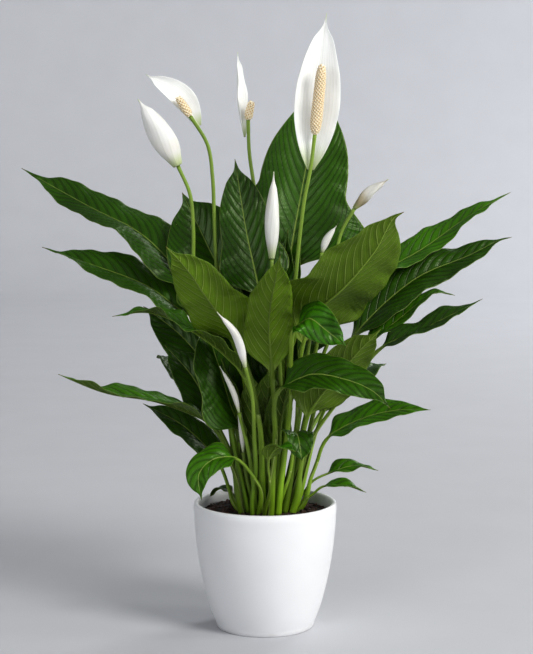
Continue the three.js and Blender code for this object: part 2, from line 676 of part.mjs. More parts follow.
function potGeometry() {
  const lipHeight = POT_HEIGHT - POT_WALL / 2;
  const outer = wallPoints(0, POT_BASE_EDGE, lipHeight, POT_ROWS);
  const inner = wallPoints(POT_WALL, lipHeight, POT_FLOOR + POT_WALL, POT_ROWS);
  const lip = [];
  for (let index = 1; index < LIP_STEPS; index += 1) {
    const angle = (Math.PI * index) / LIP_STEPS;
    lip.push([potRadius(POT_HEIGHT) - (POT_WALL / 2) * (1 - Math.cos(angle)),
      lipHeight + (POT_WALL / 2) * Math.sin(angle)]);
  }
  const profile = [[0, 0], [POT_BASE_RADIUS - POT_BASE_EDGE / 2, 0],
    [POT_BASE_RADIUS, POT_BASE_EDGE / 4], ...outer, ...lip, ...inner,
    [floorRadius, POT_FLOOR], [0, POT_FLOOR]];
  return latheUp(profile);
}

// A round solid about the upright axis, from a profile of [radius, height] points.
function latheUp(profile) {
  const points = profile.map(([radius, height]) => new THREE.Vector2(radius, height));
  return new THREE.LatheGeometry(points, POT_SIDES).rotateX(Math.PI / 2);
}

function soilGeometry() {
  const low = POT_FLOOR + POT_WALL + SOIL_WALL_GAP;
  const wall = wallPoints(POT_WALL + SOIL_WALL_GAP, low, soilHeight, SOIL_ROWS);
  const foot = floorRadius - SOIL_CLEARANCE;
  const plateau = CLUMP_RADIUS + CLUMP_MARGIN;
  const slope = [lerp(plateau, wall.at(-1)[0], 0.5), lerp(soilHeight, soilTop, SOIL_SLOPE_DROP)];
  return latheUp([[0, POT_FLOOR + SOIL_CLEARANCE], [foot, POT_FLOOR + SOIL_CLEARANCE], ...wall,
    slope, [plateau, soilTop], [0, soilTop]]);
}

// ---------- the whole object ----------

const group = new THREE.Group();

function addPart(name, geometry, look) {
  const mesh = new THREE.Mesh(geometry, new THREE.MeshStandardMaterial(FINISHES[look]));
  mesh.name = name;
  group.add(mesh);
}

const leaves = LEAVES.map(makeLeaf);
const stems = FLOWERS.map(makeStem);
makeRoom([...leaves, ...stems]);

addPart('pot', potGeometry(), 'glaze');
addPart('soil', soilGeometry(), 'soil');
leaves.forEach((leaf) => addPart(leaf.name, leafGeometry(leaf), leaf.spec.tone));
stems.forEach((stem) => {
  const flower = stem.spec;
  addPart(`${flower.name}_stem`, tubeGeometry(stem.rows, STEM_SIDES), 'stem');
  if (flower.open) {
    addPart(`${flower.name}_spathe`, spatheGeometry(openSpathe(flower, stem)), 'spathe');
    addPart(`${flower.name}_spadix`,
      spindleGeometry(spadixPiece(flower, stem).rows, SPADIX_SIDES), 'spadix');
  } else {
    addPart(`${flower.name}_spathe`,
      spindleGeometry(closedSpathe(flower, stem).rows, CLOSED_SIDES), 'spathe');
  }
});

export default group;
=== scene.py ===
import math

import bmesh
import bpy
import numpy as np
from bpy.props import FloatProperty, FloatVectorProperty, IntProperty, PointerProperty
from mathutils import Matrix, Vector, noise


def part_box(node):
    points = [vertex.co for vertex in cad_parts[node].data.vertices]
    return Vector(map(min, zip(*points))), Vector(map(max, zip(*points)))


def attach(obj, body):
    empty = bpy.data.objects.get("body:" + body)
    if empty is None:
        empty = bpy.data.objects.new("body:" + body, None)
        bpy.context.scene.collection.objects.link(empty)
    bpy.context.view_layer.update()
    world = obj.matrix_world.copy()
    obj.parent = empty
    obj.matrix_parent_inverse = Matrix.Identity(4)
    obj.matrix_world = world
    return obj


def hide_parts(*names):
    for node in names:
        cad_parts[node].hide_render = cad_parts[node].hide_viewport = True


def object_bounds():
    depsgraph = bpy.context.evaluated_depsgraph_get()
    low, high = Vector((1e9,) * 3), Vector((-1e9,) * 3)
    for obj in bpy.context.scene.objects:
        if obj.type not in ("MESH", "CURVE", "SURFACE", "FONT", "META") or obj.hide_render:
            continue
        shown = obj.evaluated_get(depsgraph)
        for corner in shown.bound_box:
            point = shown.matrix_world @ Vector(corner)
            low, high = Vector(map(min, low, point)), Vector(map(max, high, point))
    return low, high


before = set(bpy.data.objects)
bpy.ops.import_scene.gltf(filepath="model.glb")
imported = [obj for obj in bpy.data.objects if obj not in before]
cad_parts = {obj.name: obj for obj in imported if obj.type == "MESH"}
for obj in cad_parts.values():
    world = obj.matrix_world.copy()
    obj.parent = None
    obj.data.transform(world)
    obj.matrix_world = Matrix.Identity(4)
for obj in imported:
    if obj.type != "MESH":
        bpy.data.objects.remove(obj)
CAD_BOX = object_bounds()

bl_info = {
    "name": "Potted peace lily",
    "version": (1, 0, 0),
    "blender": (4, 5, 0),
    "location": "3D View > Sidebar > Peace Lily",
    "description": "Grows the leaves, flowers, soil and pot of a peace lily round its frame",
    "category": "Add Mesh",
}

MM = 0.001
BODY = "root"
MERGE_DISTANCE = 1e-6
GOLDEN_ANGLE = math.pi * (3.0 - math.sqrt(5.0))

LEAST_HALF = 0.3 * MM
LEAST_SPATHE = 0.35 * MM
TIP_RADIUS = 0.25 * MM
STALK_ROW = 3.5 * MM
STEM_ROW = 4 * MM
STEM_GIRTH = 0.82
FLUTES = 9

YOUNG_LEAVES = 14
YOUNG_SEED = 500
BARK_SEED = 31
WIDE_LEAVES = {"leaf_centre_inner": 1.5, "leaf_centre_shade": 1.5, "leaf_front_small": 1.7,
               **{f"leaf_back_{number}": 1.3 for number in range(1, 6)}}
BROAD_FEET = {"leaf_centre_tall": 1.2, "leaf_centre_left": 0.7, "leaf_centre_broad": 0.7}
FADED_SPATHE = "flower_right_faded_spathe"
RUFFLED_LEAVES = {"leaf_right_bright": 2.4, "leaf_left_wavy": 1.9, "leaf_front_short": 1.8}
DRY_TIP = (0.20, 0.13, 0.035)
DUST = (0.42, 0.40, 0.37)
OPEN_FLOWERS = ("flower_tall", "flower_left_open", "flower_back")


# ---------- sizes and colours that a user may change ----------


def length(name, default):
    """A length in metres, shown with its unit."""
    return FloatProperty(name=name, description=f"{name}, as a length", default=default,
                         min=0.0, unit="LENGTH", precision=5)


def share(name, default):
    """A share between 0 and 1."""
    return FloatProperty(name=name, description=f"{name}, from 0 to 1", default=default,
                         min=0.0, max=1.0, subtype="FACTOR")


def colour(name, default):
    """A colour in linear light."""
    return FloatVectorProperty(name=name, description=f"{name}, in linear light",
                               default=default, size=3, min=0.0, max=1.0, subtype="COLOR")


class LeafSettings(bpy.types.PropertyGroup):
    blade_thickness: length("Thickness of a leaf blade", 0.45 * MM)
    row_length: length("Length of one row of a blade's faces", 1.6 * MM)
    column_width: length("Width of one column of a blade's faces", 2.3 * MM)
    vein_pitch: length("Distance between side veins along the midrib", 14.0 * MM)
    vein_depth: length("Depth of the furrow over each side vein", 1.3 * MM)
    ripple: length("Height of the waves along the margins", 1.5 * MM)
    wave_length: length("Length of the waves along the margins", 52.0 * MM)
    crown: share("Rise of each half blade, as a share of its width", 0.09)
    foot_swell: share("Extra width near the foot of a blade", 0.5)
    shoulder: share("Extra width at the far end of a blade", 0.1)
    tip_draw: share("Width taken off a blade before its tip", 0.55)
    groove: share("Depth of the groove, as a share of the rib's radius", 0.45)
    sheath_share: share("Share of a stalk that its sheath covers", 0.62)
    sheath_thickness: length("Thickness of a stalk's sheath", 0.45 * MM)


class LeafColours(bpy.types.PropertyGroup):
    dark_upper: colour("Upper side of a dark leaf", (0.021, 0.071, 0.0017))
    mid_upper: colour("Upper side of a middle leaf", (0.037, 0.126, 0.0022))
    light_upper: colour("Upper side of a light leaf", (0.042, 0.165, 0.0035))
    dark_under: colour("Underside of a dark leaf", (0.055, 0.110, 0.0050))
    light_under: colour("Underside of a light leaf", (0.085, 0.155, 0.0050))
    upper_vein: colour("Veins on a leaf's upper side", (0.090, 0.170, 0.030))
    under_vein: colour("Veins on a leaf's underside", (0.265, 0.355, 0.075))
    stalk_foot: colour("Stalks near the soil", (0.155, 0.270, 0.012))
    stalk_top: colour("Stalks near the blade", (0.185, 0.280, 0.035))
    sheath_edge: colour("Thin margins of the sheaths", (0.420, 0.500, 0.170))


class FlowerSettings(bpy.types.PropertyGroup):
    spathe_thickness: length("Thickness of a spathe", 0.5 * MM)
    row_length: length("Length of one row of a spathe's faces", 1.5 * MM)
    ripple: length("Height of the waves along a spathe's margins", 0.7 * MM)
    wave_length: length("Length of the waves along a spathe's margins", 34.0 * MM)
    keel_depth: length("Depth of the keel down a spathe's back", 0.5 * MM)
    wrap_turns: FloatProperty(name="Wrap", description="Turns that a closed spathe is rolled",
                              default=1.35, min=1.0, max=2.0)
    wrap_step: share("How far the inner turn lies inside the outer one", 0.2)
    floret_spacing: length("Distance between florets on a spadix", 2.55 * MM)
    spathe_colour: colour("White of the spathes", (0.93, 0.935, 0.92))
    faded_colour: colour("Tan of the faded spathe", (0.50, 0.42, 0.28))
    spathe_green: colour("Foot, keel and tip of a spathe", (0.46, 0.56, 0.20))
    spadix_colour: colour("Cream of the spadix", (0.86, 0.775, 0.585))
    anther_colour: colour("Tan of the floret tips", (0.53, 0.34, 0.15))
    stem_foot: colour("Flower stems near the soil", (0.130, 0.240, 0.012))
    stem_top: colour("Flower stems under the spathe", (0.190, 0.290, 0.040))


class PotSettings(bpy.types.PropertyGroup):
    turn_steps: IntProperty(name="Steps", description="Steps round the pot", default=160, min=24)
    row_length: length("Length of one row of the pot's faces", 3.0 * MM)
    base_recess: length("Height of the hollow under the pot's base", 1.2 * MM)
    glaze_colour: colour("Colour of the glaze", (0.71, 0.715, 0.725))


class SoilSettings(bpy.types.PropertyGroup):
    chip_count: IntProperty(name="Chips", description="Bark chips on the soil", default=620, min=0)
    chip_length: length("Length of the largest bark chips", 8.0 * MM)
    lump_height: length("Height of the soil's lumps", 2.4 * MM)
    wall_gap: length("Gap between the soil and the pot", 0.4 * MM)
    soil_colour: colour("Colour of the soil", (0.007, 0.0045, 0.0035))
    bark_colour: colour("Colour of the bark chips", (0.034, 0.0135, 0.0080))


class StageSettings(bpy.types.PropertyGroup):
    floor_radius: length("Radius of the flat floor", 3.6)
    wall_height: length("Height of the curved wall round the floor", 2.4)
    wall_curve: length("Radius of the curve from the floor to the wall", 1.4)
    camera_distance: length("Camera's distance in front of the pot", 1.9)
    camera_height: length("Camera's height above the floor", 0.54)
    camera_side: length("Camera's place to the right of the pot", 0.0015)
    camera_pitch: FloatProperty(name="Camera pitch", description="Camera's downward tilt",
                                default=math.radians(6.55), subtype="ANGLE")
    camera_lens: FloatProperty(name="Lens", description="Focal length in millimetres",
                               default=99.69, min=1.0)
    floor_colour: colour("Colour of the floor and wall", (0.60, 0.608, 0.635))


SETTINGS = {
    "lily_leaves": LeafSettings,
    "lily_leaf_colours": LeafColours,
    "lily_flowers": FlowerSettings,
    "lily_pot": PotSettings,
    "lily_soil": SoilSettings,
    "lily_stage": StageSettings,
}


# ---------- numbers along a line ----------


def unit(vectors):
    """Vectors scaled to length one."""
    return vectors / np.maximum(np.linalg.norm(vectors, axis=-1, keepdims=True), 1e-12)


def rise(values, start, end):
    """Rises smoothly from 0 at start to 1 at end."""
    part = np.clip((np.asarray(values, float) - start) / (end - start), 0.0, 1.0)
    return part * part * (3.0 - 2.0 * part)


def blend(first, second, part):
    return first + (second - first) * part


def along(points):
    """The distance along a line to each of its points."""
    steps = np.linalg.norm(np.diff(points, axis=0), axis=1)
    return np.concatenate([[0.0], np.cumsum(np.maximum(steps, 1e-9))])


def between(knots, values, places):
    """Values at places on a smooth curve through the values at the knots."""
    values = np.asarray(values, float)
    slopes = np.gradient(values, knots, axis=0)
    index = np.clip(np.searchsorted(knots, places, side="right") - 1, 0, len(knots) - 2)
    gap = knots[index + 1] - knots[index]
    part = (places - knots[index]) / gap
    shape = (-1,) + (1,) * (values.ndim - 1)
    gap, part = gap.reshape(shape), part.reshape(shape)
    square, cube = part * part, part * part * part
    return ((2 * cube - 3 * square + 1) * values[index]
            + (cube - 2 * square + part) * gap * slopes[index]
            + (3 * square - 2 * cube) * values[index + 1]
            + (cube - square) * gap * slopes[index + 1])


def seed_of(name):
    """A number that stays the same for a name, to draw its small differences from."""
    return sum(ord(letter) * (place + 7) for place, letter in enumerate(name))


# ---------- what the frame says ----------


def layers_from(pole, near):
    """The corners one step, two steps and so on from a pole, or None if it is no pole."""
    count = len(near[pole])
    seen, layers = {pole}, [[pole]]
    while True:
        front = {other for corner in layers[-1] for other in near[corner]} - seen
        if not front:
            break
        seen |= front
        layers.append(sorted(front))
    sizes = [len(layer) for layer in layers]
    ringed = len(sizes) > 2 and sizes == [1] + [count] * (len(sizes) - 2) + [1]
    return layers if ringed else None


def walk_round(layer, near):
    """The corners of a ring, in order."""
    ring, left = [layer[0]], set(layer[1:])
    while left:
        step = next(corner for corner in near[ring[-1]] if corner in left)
        ring.append(step)
        left.remove(step)
    return ring


def in_step(ring, previous):
    """A ring turned or reversed so that its corners follow those of the previous ring."""
    turns = [np.roll(order, shift, axis=0) for order in (ring, ring[::-1])
             for shift in range(len(ring))]
    return min(turns, key=lambda turn: ((turn - previous) ** 2).sum())


def rings_of(name):
    """A node's rings of corners, from its lower pole to the other: (first, rings, last)."""
    mesh = bmesh.new()
    mesh.from_mesh(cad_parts[name].data)
    bmesh.ops.remove_doubles(mesh, verts=mesh.verts, dist=MERGE_DISTANCE)
    mesh.verts.index_update()
    mesh.verts.ensure_lookup_table()
    near = [[edge.other_vert(vert).index for edge in vert.link_edges] for vert in mesh.verts]
    points = np.array([vert.co for vert in mesh.verts])
    mesh.free()
    found = [layers_from(pole, near) for pole in range(len(points))]
    found = [layers for layers in found if layers]
    if not found:
        raise RuntimeError(f"{name} has no rings of corners between two poles")
    layers = min(found, key=lambda made: points[made[0][0]][2])
    rings = []
    for layer in layers[1:-1]:
        ring = points[walk_round(layer, near)]
        rings.append(in_step(ring, rings[-1]) if rings else ring)
    return points[layers[0][0]], np.array(rings), points[layers[-1][0]]


def nodes_like(start="", end=""):
    """The frame's nodes whose names start and end so, in order."""
    return [name for name in sorted(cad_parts)
            if name.startswith(start) and name.endswith(end)]


def margins_first(rings):
    """Rings turned so that the two margins are at column 0 and halfway round."""
    half = rings.shape[1] // 2
    spread = np.linalg.norm(rings[:, :half] - rings[:, half:], axis=2)
    return np.roll(rings, -int(spread.max(axis=0).argmax()), axis=1)


class LeafLine:
    """A leaf's midline, margins, upward direction and rib radius, from its node."""

    FLAT_SKIN = 0.4 * MM
    RIB_TOP = 1.1
    RIB_DEPTH = 0.5
    SQUARENESS = 0.87

    def __init__(self, name):
        _, rings, tip = rings_of(name)
        rings = margins_first(rings)
        first, second = rings[:, [1, 2]], rings[:, [4, 5]]
        gaps = [np.linalg.norm(pair[:, 0] - pair[:, 1], axis=1) for pair in (first, second)]
        if gaps[1].sum() > gaps[0].sum():
            first, second, gaps = second, first, gaps[::-1]
        upper, lower = first.mean(axis=1), second.mean(axis=1)
        over = unit(upper - lower)
        thick = np.linalg.norm(upper - lower, axis=1)
        rib = gaps[0] / self.RIB_TOP
        half = np.linalg.norm(rings[:, 0] - rings[:, 3], axis=1) / 2
        round_skin = rib * self.SQUARENESS
        whole = 2 * round_skin - 2 * self.FLAT_SKIN - rib * self.RIB_DEPTH
        flat = np.clip((2 * round_skin - thick) / np.maximum(whole, 1e-6), 0.0, 1.0)
        flat = np.where(half > 3 * rib, 1.0, flat)
        middle = upper - over * blend(round_skin, self.FLAT_SKIN, flat)[:, None]
        ahead = np.gradient(middle, axis=0)
        left, right = rings[:, 0], rings[:, 3]
        handed = (np.cross(right - left, ahead) * over).sum(axis=1).sum()
        if handed < 0:
            left, right = right, left
        self.knee = int(np.nonzero(half <= 1.05 * rib)[0].max())
        self.middle = np.vstack([middle, tip])
        self.left = np.vstack([left - middle, np.zeros(3)])
        self.right = np.vstack([right - middle, np.zeros(3)])
        self.over = np.vstack([over, over[-1]])
        self.rib = np.append(rib, TIP_RADIUS)
        self.places = along(self.middle)
        self.knee_place = self.places[self.knee]
        self.width = float(half.max() * 2)

    def at(self, places):
        """Middle, left, right, over, ahead and rib radius at places along the leaf."""
        middle = between(self.places, self.middle, places)
        ahead = unit(np.gradient(middle, axis=0))
        over = between(self.places, self.over, places)
        over = unit(over - ahead * (over * ahead).sum(axis=1)[:, None])
        return (middle, between(self.places, self.left, places),
                between(self.places, self.right, places), over, ahead,
                np.maximum(between(self.places, self.rib, places), 0.2 * MM))


class YoungLine(LeafLine):
    """The line of a young leaf that stands in the middle of the clump."""

    KNEE = 0.42

    def __init__(self, number, foot):
        draw = np.random.default_rng(YOUNG_SEED + number)
        turn = number * GOLDEN_ANGLE + 0.6
        outward = np.array([math.cos(turn), math.sin(turn), 0.0])
        tall = draw.uniform(150 * MM, 225 * MM) + 110 * MM * float(rise(outward[1], 0.0, 0.55))
        part = np.linspace(0.0, 1.0, 20)
        start = np.array([0.0, 0.0, foot]) + outward * draw.uniform(6 * MM, 24 * MM)
        bend = draw.uniform(8 * MM, 34 * MM) * part ** 1.8
        upward = tall * (part - 0.08 * part ** 4)
        self.middle = start + outward * bend[:, None] + np.array([0.0, 0.0, 1.0]) * upward[:, None]
        self.places = along(self.middle)
        self.knee_place = self.places[-1] * self.KNEE
        ahead = unit(np.gradient(self.middle, axis=0))
        aside = draw.uniform(-0.5, 0.5)
        facing = -outward + aside * np.array([-outward[1], outward[0], 0.0])
        self.over = unit(facing - ahead * (ahead * facing).sum(axis=1)[:, None])
        side = unit(np.cross(ahead, self.over))
        blade = np.clip((self.places / self.places[-1] - self.KNEE) / (1 - self.KNEE), 0.0, 1.0)
        self.width = draw.uniform(30 * MM, 44 * MM)
        half = 1.2 * MM + self.width / 2 * np.sin(math.pi * blade ** 0.8) ** 0.9
        half[-1] = 0.0
        fold = self.over * (0.3 * half)[:, None]
        self.left = fold - side * half[:, None]
        self.right = fold + side * half[:, None]
        self.rib = blend(2.6 * MM, 0.5 * MM, rise(part, 0.2, 1.0))


def round_line(name):
    """A round node's middle points and radii, from its lower end to the other."""
    first, rings, last = rings_of(name)
    middle = rings.mean(axis=1)
    radii = np.linalg.norm(rings - middle[:, None], axis=2).mean(axis=1)
    return first, middle, radii, last


def frames_along(middle):
    """Directions along, across and over a line, turning as little as they can."""
    ahead = unit(np.gradient(middle, axis=0))
    across = np.zeros_like(ahead)
    side = np.array([1.0, 0.0, 0.0])
    for index, direction in enumerate(ahead):
        side = unit(side - direction * side.dot(direction))
        across[index] = side
    return ahead, across, np.cross(across, ahead)


# ---------- modelling ----------


def deselect_all():
    if bpy.context.object and bpy.context.object.mode != "OBJECT":
        bpy.ops.object.mode_set(mode="OBJECT")
    bpy.ops.object.select_all(action="DESELECT")


def make_active(thing):
    deselect_all()
    thing.select_set(True)
    bpy.context.view_layer.objects.active = thing


def note(thing, shape=None, **values):
    """Stores a number for each corner, or one number for all of them, under each name."""
    for name, numbers in values.items():
        layer = thing.data.attributes.new(name, "FLOAT", "POINT")
        numbers = np.broadcast_to(numbers, shape or len(thing.data.vertices))
        layer.data.foreach_set("value", numbers.astype(np.float32).ravel())


def linked(name, corners, lines, faces):
    """A mesh object of the corners, lines and faces given, in the scene."""
    mesh = bpy.data.meshes.new(name)
    mesh.from_pydata(corners, lines, faces)
    thing = bpy.data.objects.new(name, mesh)
    bpy.context.scene.collection.objects.link(thing)
    return thing


def taken_apart(thing):
    """The corners and faces of a thing, which is then removed."""
    corners = np.array([vert.co for vert in thing.data.vertices])
    faces = [tuple(face.vertices) for face in thing.data.polygons]
    bpy.data.objects.remove(thing)
    return corners, faces


def add_sheet(name, points, **notes):
    """A sheet of faces through points[row][column], with a UV map and what is noted on it."""
    rows, columns = points.shape[:2]
    deselect_all()
    bpy.ops.mesh.primitive_grid_add(x_subdivisions=columns - 1, y_subdivisions=rows - 1)
    sheet = bpy.context.object
    sheet.name = sheet.data.name = name
    sheet.data.vertices.foreach_set("co", points.reshape(-1))
    sheet.data.update()
    note(sheet, (rows, columns), **notes)
    return sheet


def thicken(sheet, thickness):
    """Gives a sheet its thickness, half to each side, and notes which side is its under side."""
    count = len(sheet.data.vertices)
    make_active(sheet)
    modifier = sheet.modifiers.new("Thickness", "SOLIDIFY")
    modifier.thickness = thickness
    modifier.offset = 0.0
    bpy.ops.object.modifier_apply(modifier=modifier.name)
    note(sheet, under=np.repeat([0.0, 1.0], count))
    return sheet


def add_tube(name, middle, radii, axes=None, depth=0.0, squash=1.0, sides=18, **notes):
    """A closed tube round a line, with round or flattened and lightly fluted sections."""
    across, over = axes or frames_along(middle)[1:]
    turns = np.linspace(0.0, 2 * math.pi, sides + 1)
    size = (np.asarray(radii)[:, None] * (1.0 + depth * np.cos(turns * FLUTES)))[..., None]
    flat = np.broadcast_to(squash, len(middle))[:, None, None]
    points = (middle[:, None] + across[:, None] * size * np.cos(turns)[None, :, None]
              - over[:, None] * size * flat * np.sin(turns)[None, :, None])
    tube = add_sheet(name, points, along=np.linspace(0.0, 1.0, len(middle))[:, None], **notes)
    mesh = bmesh.new()
    mesh.from_mesh(tube.data)
    bmesh.ops.remove_doubles(mesh, verts=mesh.verts, dist=MERGE_DISTANCE)
    bmesh.ops.holes_fill(mesh, edges=[edge for edge in mesh.edges if edge.is_boundary])
    bmesh.ops.recalc_face_normals(mesh, faces=mesh.faces)
    mesh.to_mesh(tube.data)
    mesh.free()
    return tube


def join(first, *others):
    """Joins pieces into the first, which keeps its name."""
    make_active(first)
    for other in others:
        other.select_set(True)
    bpy.ops.object.join()


def wear(thing, material, smooth=True, angle=None):
    """Gives a thing its material and, if wanted, smooth faces."""
    thing.data.materials.clear()
    thing.data.materials.append(material)
    make_active(thing)
    if angle:
        bpy.ops.object.shade_smooth_by_angle(angle=angle)
    elif smooth:
        bpy.ops.object.shade_smooth()


def settle(piece, node):
    """Puts a finished piece on the plant's body, in place of its node."""
    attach(piece, BODY)
    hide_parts(node)


# ---------- node trees ----------


class Tree:
    """Adds nodes to a tree and joins them."""

    def __init__(self, tree):
        self.tree = tree

    def feed(self, socket, value):
        if isinstance(value, bpy.types.NodeSocket):
            self.tree.links.new(value, socket)
        elif socket.type == "RGBA" and len(value) == 3:
            socket.default_value = (*value, 1.0)
        else:
            socket.default_value = value

    def node(self, kind, inputs=None, **settings):
        made = self.tree.nodes.new(kind)
        for key, value in settings.items():
            setattr(made, key, value)
        for key, value in (inputs or {}).items():
            self.feed(made.inputs[key], value)
        return made

    def math(self, operation, first, second=0.0):
        inputs = {0: first, 1: second}
        return self.node("ShaderNodeMath", inputs, operation=operation).outputs[0]

    def times(self, first, second):
        return self.math("MULTIPLY", first, second)

    def total(self, *parts):
        """The sum of values, each given alone or as (value, weight)."""
        made = None
        for part in parts:
            value, weight = part if isinstance(part, tuple) else (part, 1.0)
            term = self.times(value, weight)
            made = term if made is None else self.math("ADD", made, term)
        return made

    def mix(self, part, first, second):
        inputs = {0: part, 6: first, 7: second}
        return self.node("ShaderNodeMix", inputs, data_type="RGBA").outputs[2]

    def shade(self, tint, amount):
        """A colour made lighter or darker by a value round 1."""
        inputs = {0: tint, "Scale": amount}
        return self.node("ShaderNodeVectorMath", inputs, operation="SCALE").outputs[0]

    def span(self, value, low, high, start=0.0, end=1.0):
        """Goes smoothly from start to end as the value goes from low to high."""
        inputs = {0: value, 1: low, 2: high, 3: start, 4: end}
        return self.node("ShaderNodeMapRange", inputs, interpolation_type="SMOOTHSTEP").outputs[0]

    def noted(self, name):
        return self.node("ShaderNodeAttribute", attribute_name=name).outputs["Fac"]

    def place(self, scale=(1.0, 1.0, 1.0), kind="Object"):
        source = self.node("ShaderNodeTexCoord").outputs[kind]
        return self.node("ShaderNodeMapping", {"Vector": source, "Scale": scale}).outputs[0]

    def speckle(self, scale, detail=2.0, vector=None, roughness=0.5):
        inputs = {"Vector": vector or self.place(), "Scale": scale, "Detail": detail,
                  "Roughness": roughness}
        return self.node("ShaderNodeTexNoise", inputs).outputs["Fac"]

    def lines(self, value, turns, width):
        """Thin lines where the value times turns is whole."""
        repeated = self.math("PINGPONG", self.times(value, turns), 0.5)
        return self.span(repeated, 0.0, width, 1.0, 0.0)

    def finish(self, tint, rough, height, depth):
        """Feeds the Principled shader its colour, its roughness and a relief of some depth."""
        bump = self.node("ShaderNodeBump", {"Height": height, "Distance": depth})
        self.feed(self.shader.inputs["Base Color"], tint)
        self.feed(self.shader.inputs["Roughness"], rough)
        self.feed(self.shader.inputs["Normal"], bump.outputs[0])

    def glow(self, tint, amount):
        """Mixes in light that comes through a thin piece."""
        normal = self.shader.inputs["Normal"].links[0].from_socket
        through = self.node("ShaderNodeBsdfTranslucent", {"Color": tint, "Normal": normal})
        shaders = {0: amount, 1: self.shader.outputs[0], 2: through.outputs[0]}
        both = self.node("ShaderNodeMixShader", shaders)
        self.feed(self.tree.nodes["Material Output"].inputs["Surface"], both.outputs[0])


def once(kind):
    """Keeps what a function builds under its name, and gives that back the next time."""
    def keep(build):
        def give(name, *values):
            return getattr(bpy.data, kind).get(name) or build(name, *values)
        return give
    return keep


def new_group(name, tints):
    """A shader node group from named tints to a colour, a roughness and a height."""
    group = bpy.data.node_groups.new(name, "ShaderNodeTree")
    for title, tint in tints.items():
        socket = group.interface.new_socket(title, in_out="INPUT", socket_type="NodeSocketColor")
        socket.default_value = (*tint, 1.0)
    for title, kind in (("Color", "Color"), ("Roughness", "Float"), ("Height", "Float")):
        group.interface.new_socket(title, in_out="OUTPUT", socket_type=f"NodeSocket{kind}")
    tree = Tree(group)
    return group, tree, tree.node("NodeGroupInput").outputs


def new_material(name, **values):
    """A material with one Principled shader, whose plain values are set on its own sockets."""
    made = bpy.data.materials.new(name)
    made.use_nodes = True
    tree = Tree(made.node_tree)
    tree.shader = made.node_tree.nodes["Principled BSDF"]
    for title, value in values.items():
        tree.feed(tree.shader.inputs[title.replace("_", " ")], value)
    return made, tree


def skinned(name, group, tints, depth, through, **values):
    """A material that wears a skin group in its tints and lets a share of the light through."""
    made, tree = new_material(name, **values)
    skin = tree.node("ShaderNodeGroup", tints, node_tree=group).outputs
    tree.finish(skin["Color"], skin["Roughness"], skin["Height"], depth)
    tree.glow(skin["Color"], through)
    return made


@once("node_groups")
def leaf_skin(name, tints):
    """Colour, roughness and relief of a leaf blade: veins, midrib, margin, blotches, painted shade in
    the vein furrows and painted highlight on the bands between.
    """
    group, tree, given = new_group(name, tints)
    vein = tree.noted("vein")
    line = tree.lines(vein, 1.0, 0.095)
    fine = tree.lines(vein, 4.0, 0.3)
    # swell is 0 on a side vein and 0.5 halfway between two; below, it paints shade and highlight
    swell = tree.math("PINGPONG", vein, 0.5)
    part = tree.noted("along")
    under = tree.span(tree.noted("under"), 0.4, 0.6)
    rib = tree.span(tree.noted("inner"), 0.25, 0.75, 1.0, 0.0)
    margin = tree.span(tree.noted("edge"), 0.965, 1.0)
    blotch = tree.speckle(26.0, 3.0)
    grain = tree.speckle(420.0)

    # Random blotches, grain and tone, plus a painted highlight on the swell between side veins, on
    # both sides of the blade
    tinted = tree.total((tree.span(blotch, 0.3, 0.7), 0.4), (grain, 0.2), (swell, 0.5),
                        (tree.noted("shade"), 0.4), (1.0, 0.42))
    # Painted shade in the furrows over the side veins and painted sheen on the bands between them
    vein_shade_and_sheen = tree.times(tinted, tree.span(swell, 0.0, 0.26, 0.68, 1.12))
    upper = tree.mix(tree.total((line, 0.12), (fine, 0.1)), tree.shade(given["Upper"], vein_shade_and_sheen),
                     given["Upper vein"])
    upper = tree.mix(tree.times(rib, 0.82), upper, given["Under vein"])
    upper = tree.mix(tree.times(margin, 0.6), upper, given["Under vein"])
    below = tree.mix(tree.total((line, 0.68), (fine, 0.13)), tree.shade(given["Under"], tinted),
                     given["Under vein"])
    below = tree.mix(tree.times(rib, 0.85), below, given["Under vein"])
    skin = tree.mix(under, upper, below)
    skin = tree.mix(tree.span(part, 0.0, 0.09, 0.7, 0.0), skin, given["Under vein"])
    skin = tree.mix(tree.span(part, 0.965, 1.0, 0.0, 0.7), skin, DRY_TIP)

    rough = tree.total((under, 0.17), (line, 0.07), (grain, 0.14), (blotch, 0.08), (1.0, 0.2))
    relief = tree.total((line, 0.8), (fine, 0.1), (rib, 0.5))
    side = tree.span(under, 0.0, 1.0, -1.0, 1.0)
    height = tree.total(tree.times(relief, side), (grain, 0.35))
    tree.node("NodeGroupOutput", {"Color": skin, "Roughness": rough, "Height": height})
    return group


@once("node_groups")
def stalk_skin(name, tints):
    """Colour and relief of a stalk or stem: a change of green up its length, and streaks."""
    group, tree, given = new_group(name, tints)
    streak = tree.speckle(1.0, 3.0, tree.place((34.0, 5.0, 1.0), "UV"))
    blotch = tree.speckle(45.0, 3.0)
    tinted = tree.total((streak, 0.5), (blotch, 0.5), (tree.noted("shade"), 0.95), (1.0, 0.05))
    skin = tree.mix(tree.span(tree.noted("along"), 0.05, 0.8), given["Foot"], given["Top"])
    skin = tree.mix(tree.noted("edge"), tree.shade(skin, tinted), given["Edge"])
    rough = tree.total((streak, 0.2), (1.0, 0.3))
    tree.node("NodeGroupOutput", {"Color": skin, "Roughness": rough, "Height": streak})
    return group


@once("materials")
def leaf_material(name, tone):
    colours = bpy.context.scene.lily_leaf_colours
    tints = {"Upper": getattr(colours, f"{tone}_upper"), "Upper vein": colours.upper_vein,
             "Under": colours.light_under if tone == "light" else colours.dark_under,
             "Under vein": colours.under_vein}
    return skinned(name, leaf_skin("Leaf skin", tints), tints, 0.35 * MM, 0.16,
                   Specular_IOR_Level=0.34, Specular_Tint=(0.9, 1.0, 0.7))


@once("materials")
def stalk_material(name, foot, top):
    tints = {"Foot": foot, "Top": top, "Edge": bpy.context.scene.lily_leaf_colours.sheath_edge}
    return skinned(name, stalk_skin("Stalk skin", tints), tints, 0.3 * MM, 0.12, IOR=1.42)


